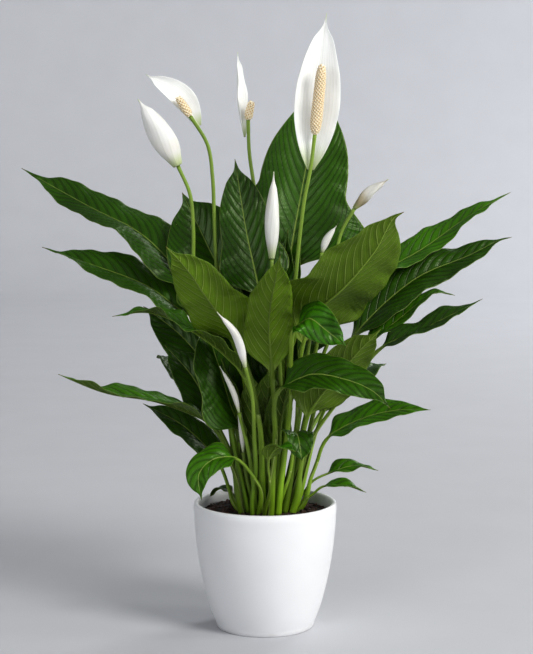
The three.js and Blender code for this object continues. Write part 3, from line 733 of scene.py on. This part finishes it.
@once("materials")
def spathe_material(name):
    colours = bpy.context.scene.lily_flowers
    made, tree = new_material(name, IOR=1.4)
    part = tree.noted("along")
    veins = tree.lines(tree.noted("across"), 7.0, 0.22)
    cells = tree.speckle(900.0)
    cloud = tree.speckle(38.0)
    white = tree.shade(colours.spathe_colour, tree.span(cloud, 0.2, 0.8, 0.95, 1.04))
    dry = tree.times(tree.noted("fade"), tree.span(cloud, 0.3, 0.65, 0.25, 1.0))
    white = tree.mix(dry, white, colours.faded_colour)
    keel = tree.times(tree.span(tree.noted("edge"), 0.02, 0.11, 1.0, 0.0), tree.noted("under"))
    keel = tree.times(keel, tree.span(part, 0.2, 1.0, 0.85, 0.35))
    green = tree.total((tree.span(part, 0.0, 0.2, 1.0, 0.0), 0.75),
                       (tree.span(part, 0.93, 1.0), 0.55), keel, (veins, 0.045))
    tint = tree.mix(tree.math("MINIMUM", green, 0.9), white, colours.spathe_green)
    tree.finish(tint, tree.span(cells, 0.3, 0.7, 0.42, 0.56),
                tree.total((veins, 0.6), (cells, 0.4)), 0.22 * MM)
    tree.glow(tint, 0.2)
    return made


@once("materials")
def spadix_material(name):
    colours = bpy.context.scene.lily_flowers
    made, tree = new_material(name)
    dust = tree.speckle(900.0)
    cream = tree.shade(colours.spadix_colour, tree.span(dust, 0.25, 0.75, 0.86, 1.08))
    tint = tree.mix(tree.span(tree.noted("tip"), 0.3, 0.9), cream, colours.anther_colour)
    tree.finish(tint, tree.span(dust, 0.2, 0.8, 0.55, 0.75), dust, 0.15 * MM)
    return made


@once("materials")
def glaze_material(name):
    made, tree = new_material(name, Coat_Weight=0.18, Coat_Roughness=0.25)
    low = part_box("pot")[0].z
    sway = tree.speckle(16.0)
    height = tree.node("ShaderNodeSeparateXYZ", {0: tree.place()}).outputs["Z"]
    dust = tree.times(tree.span(height, low, low + 9 * MM, 0.22, 0.0),
                      tree.span(tree.speckle(70.0, 3.0), 0.35, 0.7))
    white = tree.shade(bpy.context.scene.lily_pot.glaze_colour,
                       tree.span(sway, 0.3, 0.7, 0.985, 1.01))
    tree.finish(tree.mix(dust, white, DUST), tree.span(sway, 0.3, 0.7, 0.38, 0.46),
                tree.total((sway, 6.0), (tree.speckle(1500.0), 0.12)), 0.1 * MM)
    return made


@once("materials")
def soil_material(name, tint, wet):
    """Dark crumbs for the soil, or dry bark for the chips."""
    made, tree = new_material(name)
    crumbs = tree.speckle(260.0, 5.0, roughness=0.7)
    fibres = tree.speckle(1.0, 3.0, tree.place((900.0, 300.0, 900.0)))
    light = tree.total((crumbs, 0.9), (fibres, 0.6), (tree.noted("shade"), 1.1))
    tree.finish(tree.shade(tint, light), tree.span(crumbs, 0.3, 0.7, wet, 0.95),
                tree.total(crumbs, (fibres, 0.5)), 1.2 * MM)
    return made


@once("materials")
def backdrop_material(name):
    made, tree = new_material(name, Roughness=0.85)
    # Painted light: the floor is painted a little darker near the pot and lighter out towards the
    # wall, with a faint mottle
    reach = tree.node("ShaderNodeVectorMath", {0: tree.place()}, operation="LENGTH")
    light = tree.times(tree.span(tree.speckle(9.0, 4.0), 0.2, 0.8, 0.985, 1.015),
                       tree.span(reach.outputs["Value"], 0.4, 4.6, 0.84, 0.9))
    tint = tree.shade(bpy.context.scene.lily_stage.floor_colour, light)
    tree.feed(tree.shader.inputs["Base Color"], tint)
    return made


# ---------- leaves ----------


def blade_piece(name, line):
    """A leaf's blade: crowned halves, furrowed side veins, rippled margins, a drawn-out tip."""
    leaf = bpy.context.scene.lily_leaves
    draw = np.random.default_rng(seed_of(f"lily_{name}"))
    span = line.places[-1] - line.knee_place
    rows = int(np.clip(span / leaf.row_length, 24, 170))
    columns = 2 * int(np.clip(line.width / leaf.column_width / 2, 5, 18))
    part = np.linspace(0.0, 1.0, rows + 1)
    middle, left, right, over, _, rib = line.at(line.knee_place + part * span)
    foot = BROAD_FEET.get(name, leaf.foot_swell)
    swell = 1.0 + foot * rise(part, 0.0, 0.16) * (1 - rise(part, 0.16, 0.45))
    draw_in = 1.0 + leaf.shoulder * rise(part, 0.4, 0.74) * (1 - rise(part, 0.82, 0.92))
    draw_in = draw_in - leaf.tip_draw * rise(part, 0.84, 0.95)
    wide = (WIDE_LEAVES.get(name, 1.0) * swell * draw_in)[:, None]
    left, right = left * wide, right * wide
    half = (np.linalg.norm(left, axis=1) + np.linalg.norm(right, axis=1)) / 2
    least = np.maximum(LEAST_HALF / np.maximum(half, 1e-7), 1.0)[:, None]
    side = unit(right - left + 1e-9)
    closed = half[:, None] < 0.02 * MM
    left = np.where(closed, -side * LEAST_HALF, left * least)
    right = np.where(closed, side * LEAST_HALF, right * least)

    column = np.linspace(-1.0, 1.0, columns + 1)
    out = np.abs(column)[None, :]
    p, w = part[:, None], np.maximum(half, LEAST_HALF)[:, None]
    vein = (p * span - w * (1.25 * out + 0.95 * out ** 2.6)) / leaf.vein_pitch
    crown = leaf.crown * w * np.sin(math.pi * out ** 0.85) * rise(p, 0.0, 0.12)
    furrow = -leaf.vein_depth * (0.5 + 0.5 * np.cos(2 * math.pi * vein)) ** 1.5
    furrow = furrow * rise(out, 0.03, 0.2) * (1 - rise(out, 0.86, 1.0))
    furrow = furrow * rise(w, 3 * MM, 12 * MM) * rise(p, 0.02, 0.1)
    hand = np.where(column < 0, *draw.uniform(0.0, 2 * math.pi, 2))[None, :]
    turns = p * span / leaf.wave_length * 2 * math.pi
    wave = np.sin(turns + hand) + 0.45 * np.sin(2.3 * (turns + hand))
    ripple = leaf.ripple * RUFFLED_LEAVES.get(name, 1.0) * wave * rise(out, 0.3, 1.0)
    ripple = ripple * rise(p, 0.05, 0.2) * (1 - rise(p, 0.85, 1.0))
    inner = out * w / rib[:, None]
    groove = -leaf.groove * rib[:, None] * np.exp(-(inner ** 2)) * rise(p, 0.0, 0.05)
    lift = crown + furrow + ripple + groove
    margin = np.where((column < 0)[None, :, None], left[:, None], right[:, None])
    points = middle[:, None] + margin * out[..., None] + over[:, None] * lift[..., None]
    sheet = add_sheet(f"lily_{name}", points, vein=vein, inner=inner, edge=out, along=p,
                      shade=draw.uniform(0.0, 1.0))
    return thicken(sheet, leaf.blade_thickness)


def stalk_piece(name, line):
    """A leaf's stalk and, under its blade, the midrib that the stalk goes on as."""
    leaf = bpy.context.scene.lily_leaves
    draw = np.random.default_rng(seed_of(name) + 1)
    end = line.places[-1] - 4 * MM
    places = np.linspace(0.0, end, int(np.clip(end / STALK_ROW, 20, 120)))
    middle, _, _, over, ahead, rib = line.at(places)
    blade = rise(places, line.knee_place - 6 * MM, line.knee_place + 26 * MM)
    stalk = np.clip(places / (line.knee_place * leaf.sheath_share), 0.0, 1.0)
    radii = rib * blend(blend(0.74, 0.94, rise(stalk, 0.3, 1.0)), 0.6, blade)
    squash = blend(0.95, 0.75, blade)
    sink = rib * blade * leaf.groove + radii * squash * blade
    axes = (unit(np.cross(ahead, over)), over)
    return add_tube(f"{name}_stalk", middle - over * sink[:, None], radii, axes, 0.035, squash,
                    shade=0.85 * draw.uniform())


def sheath_piece(name, line):
    """The thin sheath that wraps the lower part of a stalk, open towards the plant's middle."""
    leaf = bpy.context.scene.lily_leaves
    draw = np.random.default_rng(seed_of(name) + 2)
    part = np.linspace(0.0, 1.0, 40)
    reach = line.knee_place * leaf.sheath_share * draw.uniform(0.8, 1.1)
    middle, _, _, over, ahead, rib = line.at(part * reach)
    gap = blend(math.radians(24), math.radians(100), rise(part, 0.35, 1.0))
    radii = rib * blend(1.0, 0.93, rise(part, 0.75, 1.0)) - leaf.sheath_thickness / 2
    column = np.linspace(-1.0, 1.0, 19)[None, :]
    turns = math.pi + draw.uniform(-1.1, 1.1) + column * (math.pi - gap)[:, None]
    lip = rise(np.abs(column), 0.8, 1.0) * (1 - rise(part, 0.8, 1.0))[:, None]
    size = (radii[:, None] * (1.0 + 0.10 * lip))[..., None]
    points = (middle[:, None] + over[:, None] * size * np.cos(turns)[..., None]
              - unit(np.cross(ahead, over))[:, None] * size * np.sin(turns)[..., None])
    edge = np.maximum(0.85 * rise(np.abs(column), 0.78, 1.0), 0.6 * rise(part, 0.93, 1.0)[:, None])
    sheet = add_sheet(f"{name}_sheath", points, along=part[:, None] * leaf.sheath_share, edge=edge,
                      shade=0.1 + 0.85 * draw.uniform())
    return thicken(sheet, leaf.sheath_thickness)


def grow_leaf(name, line, node):
    """One leaf in place of a node, in the tone of green that the frame gives that node."""
    colours = bpy.context.scene.lily_leaf_colours
    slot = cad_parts[node].data.materials[0].name.split(".")[0]
    tone = slot.removeprefix("leaf_")
    blade = blade_piece(name, line)
    stalk = stalk_piece(name, line)
    sheath = sheath_piece(name, line)
    wear(blade, leaf_material(f"Leaf {tone}", tone))
    for thing in (stalk, sheath):
        wear(thing, stalk_material("Stalk", colours.stalk_foot, colours.stalk_top))
    join(blade, stalk, sheath)
    settle(blade, node)


class LILY_OT_leaves(bpy.types.Operator):
    """Grow every leaf: blade, veins, midrib, stalk and sheath"""
    bl_idname = "lily.leaves"
    bl_label = "Leaves"

    def execute(self, context):
        for name in nodes_like(start="leaf_"):
            grow_leaf(name, LeafLine(name), name)
        return {"FINISHED"}


class LILY_OT_young_leaves(bpy.types.Operator):
    """Grow the young leaves that fill the middle of the clump"""
    bl_idname = "lily.young_leaves"
    bl_label = "Young leaves"

    NODE = "leaf_centre_inner"

    def execute(self, context):
        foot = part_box(self.NODE)[0].z
        for number in range(YOUNG_LEAVES):
            grow_leaf(f"young_{number + 1}", YoungLine(number, foot), self.NODE)
        return {"FINISHED"}


# ---------- flowers ----------


def stem_piece(name):
    """A fluted flower stem that swells a little under its spathe."""
    flowers = bpy.context.scene.lily_flowers
    _, middle, radii, _ = round_line(name)
    knots = along(middle)
    part = np.linspace(0.0, 1.0, int(knots[-1] / STEM_ROW))
    places = part * knots[-1]
    size = between(knots, radii, places) * STEM_GIRTH * (1 + 0.12 * rise(part, 0.97, 1.0))
    shade = 0.35 + 0.4 * np.random.default_rng(seed_of(name)).uniform()
    tube = add_tube(f"lily_{name}", between(knots, middle, places), size, depth=0.04, shade=shade)
    wear(tube, stalk_material("Flower stem", flowers.stem_foot, flowers.stem_top))
    settle(tube, name)


class LILY_OT_stems(bpy.types.Operator):
    """Grow the flower stems"""
    bl_idname = "lily.stems"
    bl_label = "Flower stems"

    def execute(self, context):
        for name in nodes_like(end="_stem"):
            stem_piece(name)
        return {"FINISHED"}


def open_spathe(name):
    """A cupped spathe with long veins, a keel down its back and slightly waved margins."""
    flowers = bpy.context.scene.lily_flowers
    first, rings, last = rings_of(name)
    rings = margins_first(rings)
    middle = (rings[:, 2] + rings[:, 6]) / 2
    left, right = rings[:, 0] - middle, rings[:, 4] - middle
    front = unit((left + right).mean(axis=0))
    if (np.cross(right - left, np.gradient(middle, axis=0)) @ front).sum() < 0:
        left, right = right, left
    start = 0 if np.linalg.norm(first - middle[0]) < 0.5 * MM else 1
    ends = [np.zeros(3)]
    middle = np.vstack([[first]] * start + [middle, last])
    left = np.vstack([ends] * start + [left, ends])
    right = np.vstack([ends] * start + [right, ends])
    knots = along(middle)
    rows = int(np.clip(knots[-1] / flowers.row_length, 24, 130))
    part = np.linspace(0.0, 1.0, rows + 1)
    places = part * knots[-1]
    path = between(knots, middle, places)
    draw_in = (1.0 - 0.62 * rise(part, 0.83, 0.945))[:, None]
    left, right = [between(knots, edge, places) * draw_in for edge in (left, right)]
    half = np.linalg.norm(right - left, axis=1) / 2
    side = unit(right - left + 1e-9)
    thin = (half < LEAST_SPATHE)[:, None]
    left = np.where(thin, -side * LEAST_SPATHE, left)
    right = np.where(thin, side * LEAST_SPATHE, right)
    ahead = unit(np.gradient(path, axis=0))
    over = unit(np.cross(side, ahead))
    column = np.linspace(-1.0, 1.0, 25)[None, :, None]
    out = np.abs(column)
    hand = np.where(column < 0, *np.random.default_rng(seed_of(name)).uniform(0, 2 * math.pi, 2))
    p = part[:, None, None]
    wave = flowers.ripple * np.sin(p * 2 * math.pi * knots[-1] / flowers.wave_length + hand)
    wave = wave * rise(out, 0.5, 1.0) * rise(p, 0.1, 0.3) * (1 - rise(p, 0.8, 1.0))
    keel = -flowers.keel_depth * np.exp(-((out / 0.07) ** 2))
    keel = keel * rise(p, 0.0, 0.1) * (1 - rise(p, 0.8, 1.0))
    points = (path[:, None] + column * (right - left)[:, None] / 2
              + column ** 2 * (left + right)[:, None] / 2 + over[:, None] * (wave + keel))
    sheet = add_sheet(f"lily_{name}", points, along=part[:, None], across=column[..., 0],
                      edge=out[..., 0])
    return thicken(sheet, flowers.spathe_thickness)


def closed_spathe(name):
    """A spathe still rolled round its spadix, with the seam of its outer margin showing."""
    flowers = bpy.context.scene.lily_flowers
    first, middle, radii, last = round_line(name)
    middle = np.vstack([first, middle, last])
    radii = np.concatenate([[0.6 * radii[0]], radii, [TIP_RADIUS]])
    knots = along(middle)
    rows, columns = int(np.clip(knots[-1] / flowers.row_length, 20, 80)), 44
    part = np.linspace(0.0, 1.0, rows + 1)
    places = part * knots[-1]
    path = between(knots, middle, places)
    faded = name == FADED_SPATHE
    girth = (0.74 if faded else 1.0) * (1.0 - 0.55 * rise(part, 0.8, 0.93))
    size = np.maximum(between(knots, radii, places) * girth, 0.3 * MM)
    _, across, over = frames_along(path)
    roll = np.linspace(0.0, 1.0, columns + 1)
    start = np.random.default_rng(seed_of(name)).uniform(-0.6, 0.6) - 0.6 * math.pi
    turns = start + roll[None, :] * 2 * math.pi * flowers.wrap_turns + 1.1 * part[:, None]
    inset = blend(1.0 - flowers.wrap_step, 1.0, rise(roll, 0.0, 0.75))[None, :]
    lip = 1.0 + 0.09 * rise(roll, 0.93, 1.0)[None, :] * rise(part, 0.1, 0.5)[:, None]
    swell = 1.0 + (0.14 if faded else 0.03) * np.sin(turns * 3 + part[:, None] * 9)
    reach = (size[:, None] * inset * lip * swell)[..., None]
    points = (path[:, None] + across[:, None] * reach * np.cos(turns)[..., None]
              - over[:, None] * reach * np.sin(turns)[..., None])
    sheet = add_sheet(f"lily_{name}", points, along=part[:, None], across=roll * 2 - 1,
                      edge=np.abs(roll * 2 - 1), fade=1.0 if faded else 0.28)
    return thicken(sheet, flowers.spathe_thickness)


class LILY_OT_spathes(bpy.types.Operator):
    """Grow the open and the rolled spathes"""
    bl_idname = "lily.spathes"
    bl_label = "Spathes"

    def execute(self, context):
        for name in nodes_like(end="_spathe"):
            flower = name.removesuffix("_spathe")
            spathe = open_spathe(name) if flower in OPEN_FLOWERS else closed_spathe(name)
            wear(spathe, spathe_material("Spathe"))
            settle(spathe, name)
        return {"FINISHED"}


def floret_model(size):
    """One floret: a low dome whose top is noted as its tip. Returns corners, faces and tips."""
    deselect_all()
    bpy.ops.mesh.primitive_uv_sphere_add(segments=7, ring_count=6, radius=size)
    dome = bpy.context.object
    bpy.ops.object.mode_set(mode="EDIT")
    bpy.ops.mesh.bisect(plane_co=(0, 0, -0.1 * size), plane_no=(0, 0, 1), use_fill=True,
                        clear_inner=True)
    bpy.ops.object.mode_set(mode="OBJECT")
    corners, faces = taken_apart(dome)
    return corners, faces, rise(corners[:, 2] / size, 0.45, 0.95)


def spread_copies(name, model, places, turned, sizes):
    """One mesh of many copies of a model, each at its place, turned and sized."""
    corners, faces, tips = model
    made = places[:, None] + np.einsum("nij,kj->nki", turned, corners) * sizes[:, None, None]
    every = [tuple(corner + copy * len(corners) for corner in face)
             for copy in range(len(places)) for face in faces]
    thing = linked(name, made.reshape(-1, 3).tolist(), [], every)
    note(thing, tip=np.tile(tips, len(places)))
    return thing


def spadix_piece(name):
    """A spadix: a blunt core set all over with florets in a spiral."""
    flowers = bpy.context.scene.lily_flowers
    first, middle, radii, last = round_line(name)
    middle = np.vstack([first, middle, last])
    radii = np.concatenate([[0.0], radii, [0.0]])
    knots = along(middle)
    fine = np.linspace(0.0, knots[-1], 60)
    path = between(knots, middle, fine)
    bare = fine / knots[-1]
    wide = radii.max() * 0.98 * np.sqrt(np.maximum(1 - np.abs(2 * bare - 1) ** 5, 0.004))
    wide = wide * (1 - 0.2 * bare)
    core = add_tube(f"lily_{name}", path, wide, sides=24, tip=0.0)

    ahead, across, over = frames_along(path)
    area = np.concatenate([[0.0], np.cumsum(2 * math.pi * wide[1:] * np.diff(fine))])
    count = int(area[-1] / (0.87 * flowers.floret_spacing ** 2))
    places = np.interp((np.arange(count) + 0.5) / count * area[-1], area, fine)
    where = np.interp(places, fine, np.arange(len(fine)))
    low = np.minimum(where.astype(int), len(fine) - 2)
    part = (where - low)[:, None]

    def at(values):
        return values[low] * (1 - part) + values[low + 1] * part

    turns = (np.arange(count) * GOLDEN_ANGLE)[:, None]
    aside = unit(at(across) * np.cos(turns) + at(over) * np.sin(turns))
    foot = at(path) + aside * np.interp(places, fine, wide)[:, None]
    outward = unit(aside - at(ahead) * np.gradient(wide, fine)[low][:, None])
    tangent = unit(np.cross(outward, at(ahead)))
    turned = np.stack([tangent, np.cross(outward, tangent), outward], axis=2)
    sizes = np.random.default_rng(seed_of(name)).uniform(0.92, 1.08, count)
    model = floret_model(flowers.floret_spacing * 0.5)
    florets = spread_copies(f"{name}_florets", model, foot, turned, sizes)
    for thing in (core, florets):
        wear(thing, spadix_material("Spadix"))
    join(core, florets)
    settle(core, name)


class LILY_OT_spadices(bpy.types.Operator):
    """Grow the spadices with their florets"""
    bl_idname = "lily.spadices"
    bl_label = "Spadices"

    def execute(self, context):
        for name in nodes_like(end="_spadix"):
            spadix_piece(name)
        return {"FINISHED"}


# ---------- pot and soil ----------


def profile_of(name):
    """The radius and height of a round node's rings, from the lower pole to the other."""
    first, rings, last = rings_of(name)
    radii = np.hypot(rings[..., 0], rings[..., 1]).mean(axis=1)
    heights = rings[..., 2].mean(axis=1)
    return (np.concatenate([[0.0], radii, [0.0]]),
            np.concatenate([[first[2]], heights, [last[2]]]))


def turned_piece(name, radii, heights, steps, inside=False):
    """A round piece turned from its profile about the upright axis, facing out or inside."""
    corners = [(radius, 0.0, height) for radius, height in zip(radii, heights)]
    lines = [(index, index + 1) for index in range(len(corners) - 1)]
    piece = linked(name, corners, lines, [])
    make_active(piece)
    bpy.ops.object.mode_set(mode="EDIT")
    bpy.ops.mesh.select_all(action="SELECT")
    bpy.ops.mesh.spin(steps=steps, angle=2 * math.pi, center=(0, 0, 0), axis=(0, 0, 1))
    bpy.ops.mesh.select_all(action="SELECT")
    bpy.ops.mesh.remove_doubles(threshold=MERGE_DISTANCE * 10)
    bpy.ops.mesh.normals_make_consistent(inside=inside)
    bpy.ops.object.mode_set(mode="OBJECT")
    return piece


def finer(radii, heights, row):
    """A profile with a point at least every row, smooth through the points given."""
    points = np.stack([radii, heights], axis=1)
    knots = along(points)
    places = np.unique(np.concatenate(
        [np.linspace(knots[i], knots[i + 1], max(2, int((knots[i + 1] - knots[i]) / row) + 2))
         for i in range(len(knots) - 1)]))
    made = between(knots, points, places)
    return made[:, 0], made[:, 1]


class LILY_OT_pot(bpy.types.Operator):
    """Turn the glazed pot with its rounded lip and foot"""
    bl_idname = "lily.pot"
    bl_label = "Pot"

    BASE_POINTS = 4

    def execute(self, context):
        pot = context.scene.lily_pot
        radii, heights = profile_of("pot")
        base = self.BASE_POINTS
        wall_radii, wall_heights = finer(radii[base - 1:-2], heights[base - 1:-2], pot.row_length)
        foot = radii[base - 1]
        recess = pot.base_recess
        under_radii = [0.0, 0.5 * foot, 0.86 * foot, 0.88 * foot, 0.9 * foot, foot - 1.6 * MM,
                       foot - 0.6 * MM]
        under_heights = [recess, recess, recess, 0.5 * recess, 0.0, 0.0, 0.9 * MM]
        piece = turned_piece(
            "lily_pot", [*under_radii, *wall_radii, radii[-2], 0.0],
            [*under_heights, *wall_heights, heights[-2], heights[-1]], pot.turn_steps)
        wear(piece, glaze_material("Pot glaze"), angle=math.radians(50))
        settle(piece, "pot")
        return {"FINISHED"}


def bark_model(draw):
    """One chip of bark: a flat, chipped lump of a few faces."""
    deselect_all()
    bpy.ops.mesh.primitive_ico_sphere_add(subdivisions=2, radius=0.5)
    corners, faces = taken_apart(bpy.context.object)
    corners = np.sign(corners) * np.abs(corners) ** 0.8
    corners *= draw.uniform(0.82, 1.12, (len(corners), 1))
    corners *= np.array([1.0, draw.uniform(0.45, 0.75), draw.uniform(0.22, 0.4)])
    return corners, faces, np.zeros(len(corners))


class LILY_OT_soil(bpy.types.Operator):
    """Fill the pot with lumpy soil and bark chips"""
    bl_idname = "lily.soil"
    bl_label = "Soil"

    MODELS = 5

    def lumpy_soil(self, soil):
        """The body of soil, out to the pot's wall, with a lumpy top."""
        radii, heights = profile_of("soil")
        pot_radii, pot_heights = profile_of("pot")
        rim = int(np.argmax(pot_heights))
        inside = slice(rim + 3, len(pot_radii) - 2)
        order = np.argsort(pot_heights[inside])
        wall_heights, wall_radii = pot_heights[inside][order], pot_radii[inside][order]
        edge = int(np.argmax(radii))
        radii[2:edge + 1] = np.interp(heights[2:edge + 1], wall_heights, wall_radii) - soil.wall_gap
        top = np.linspace(radii[edge], 0.0, 46)
        top_heights = np.interp(top, radii[edge:][::-1], heights[edge:][::-1])
        piece = turned_piece("lily_soil", [*radii[:edge], *top], [*heights[:edge], *top_heights], 120)
        limit = heights[edge] - 1 * MM
        for vert in piece.data.vertices:
            if vert.co.z > limit:
                spot = Vector((vert.co.x, vert.co.y, 0.0))
                lump = noise.fractal(spot * 160, 1.0, 2.0, 4) + 0.5 * noise.noise(spot * 420)
                vert.co.z += soil.lump_height * min(max(lump, -1.0), 1.0) * 0.7
        note(piece, shade=0.3)
        return piece, float(radii[edge]), top[::-1], top_heights[::-1]

    def execute(self, context):
        soil = context.scene.lily_soil
        piece, edge, top, top_heights = self.lumpy_soil(soil)
        draw = np.random.default_rng(BARK_SEED)
        wear(piece, soil_material("Soil", soil.soil_colour, 0.7))
        bark = soil_material("Bark", soil.bark_colour, 0.55)
        chips = []
        each = soil.chip_count // self.MODELS
        for number in range(self.MODELS):
            radius = (edge - 4.5 * MM) * np.sqrt(draw.uniform(0.0, 1.0, each))
            turn = draw.uniform(0.0, 2 * math.pi, each)
            sizes = soil.chip_length * draw.uniform(0.25, 1.0, each) ** 1.4
            height = np.interp(radius, top, top_heights) + draw.uniform(-0.2, 1.8, each) * MM
            places = np.stack([radius * np.cos(turn), radius * np.sin(turn), height], axis=1)
            tilt = unit(draw.normal(0.0, 0.34, (each, 3)) + np.array([0.0, 0.0, 1.0]))
            side = unit(np.cross(tilt, draw.normal(0.0, 1.0, (each, 3))))
            turned = np.stack([side, np.cross(tilt, side), tilt], axis=2)
            model = bark_model(draw)
            group = spread_copies(f"chips_{number}", model, places, turned, sizes)
            note(group, shade=np.repeat(draw.uniform(0.0, 1.0, each), len(model[0])))
            wear(group, bark, smooth=False)
            chips.append(group)
        join(piece, *chips)
        settle(piece, "soil")
        return {"FINISHED"}


# ---------- stage ----------


def add_light(name, place, target, size, power, tint):
    data = bpy.data.lights.new(name, "AREA")
    data.shape = "DISK"
    data.size, data.energy, data.color = size, power, tint
    light = bpy.data.objects.new(name, data)
    light.location = place
    light.visible_camera = False
    light.rotation_euler = (Vector(target) - Vector(place)).to_track_quat("-Z", "Y").to_euler()
    bpy.context.scene.collection.objects.link(light)


class LILY_OT_stage(bpy.types.Operator):
    """Set up the floor, the lights and the camera"""
    bl_idname = "lily.stage"
    bl_label = "Stage"

    def execute(self, context):
        stage = context.scene.lily_stage
        low, high = (Vector(corner) for corner in CAD_BOX)
        centre = (low + high) / 2
        curve = stage.wall_curve
        bend = np.linspace(0.0, math.pi / 2, 16)
        radii = [0.0, stage.floor_radius / 3, stage.floor_radius * 2 / 3,
                 *(stage.floor_radius + curve * np.sin(bend)), stage.floor_radius + curve]
        heights = [low.z, low.z, low.z, *(low.z + curve * (1 - np.cos(bend))),
                   low.z + stage.wall_height]
        floor = turned_piece("floor", radii, heights, 96, inside=True)
        wear(floor, backdrop_material("Backdrop"))

        add_light("key", (3.2, -2.9, 3.1), centre, 2.1, 210.0, (1.0, 0.99, 0.97))
        add_light("side", (3.8, -0.3, 0.9), (0.0, 0.0, 0.3), 1.1, 48.0, (1.0, 0.99, 0.95))
        add_light("fill", (-1.9, -3.6, 1.4), centre, 2.2, 42.0, (0.97, 0.985, 1.0))
        add_light("back", (2.2, 3.4, 3.3), centre, 2.0, 48.0, (1.0, 1.0, 1.0))
        add_light("wall", (2.5, 3.1, 2.1), (0.9, 3.4, 0.3), 1.4, 40.0, (0.95, 0.975, 1.0))

        world = bpy.data.worlds.new("Studio")
        world.use_nodes = True
        background = world.node_tree.nodes["Background"]
        background.inputs["Color"].default_value = (0.97, 0.98, 1.0, 1.0)
        background.inputs["Strength"].default_value = 0.36
        context.scene.world = world
        context.scene.view_settings.view_transform = "Standard"
        context.scene.view_settings.gamma = 0.86

        data = bpy.data.cameras.new("camera")
        data.lens = stage.camera_lens
        data.sensor_width = 36.0
        camera = bpy.data.objects.new("camera", data)
        camera.location = (stage.camera_side, -stage.camera_distance,
                           low.z + stage.camera_height)
        camera.rotation_euler = (math.pi / 2 - stage.camera_pitch, 0.0, 0.0)
        context.scene.collection.objects.link(camera)
        context.scene.camera = camera
        return {"FINISHED"}


# ---------- panel and registration ----------


OPERATORS = (LILY_OT_pot, LILY_OT_soil, LILY_OT_leaves, LILY_OT_young_leaves, LILY_OT_stems,
             LILY_OT_spathes, LILY_OT_spadices, LILY_OT_stage)


class LILY_PT_panel(bpy.types.Panel):
    """Lists the pieces of the peace lily"""
    bl_label = "Peace Lily"
    bl_idname = "LILY_PT_panel"
    bl_space_type = "VIEW_3D"
    bl_region_type = "UI"
    bl_category = "Peace Lily"

    def draw(self, context):
        for operator in OPERATORS:
            self.layout.operator(operator.bl_idname)
        for name, settings in SETTINGS.items():
            box = self.layout.box()
            for key in settings.__annotations__:
                box.prop(getattr(context.scene, name), key)


CLASSES = (*SETTINGS.values(), *OPERATORS, LILY_PT_panel)


def register():
    for made in CLASSES:
        bpy.utils.register_class(made)
    for name, settings in SETTINGS.items():
        setattr(bpy.types.Scene, name, PointerProperty(type=settings))


def unregister():
    for name in SETTINGS:
        delattr(bpy.types.Scene, name)
    for made in reversed(CLASSES):
        bpy.utils.unregister_class(made)


def main():
    register()
    bpy.ops.lily.pot()
    bpy.ops.lily.soil()
    bpy.ops.lily.leaves()
    bpy.ops.lily.young_leaves()
    bpy.ops.lily.stems()
    bpy.ops.lily.spathes()
    bpy.ops.lily.spadices()
    bpy.ops.lily.stage()


if __name__ == "__main__":
    main()
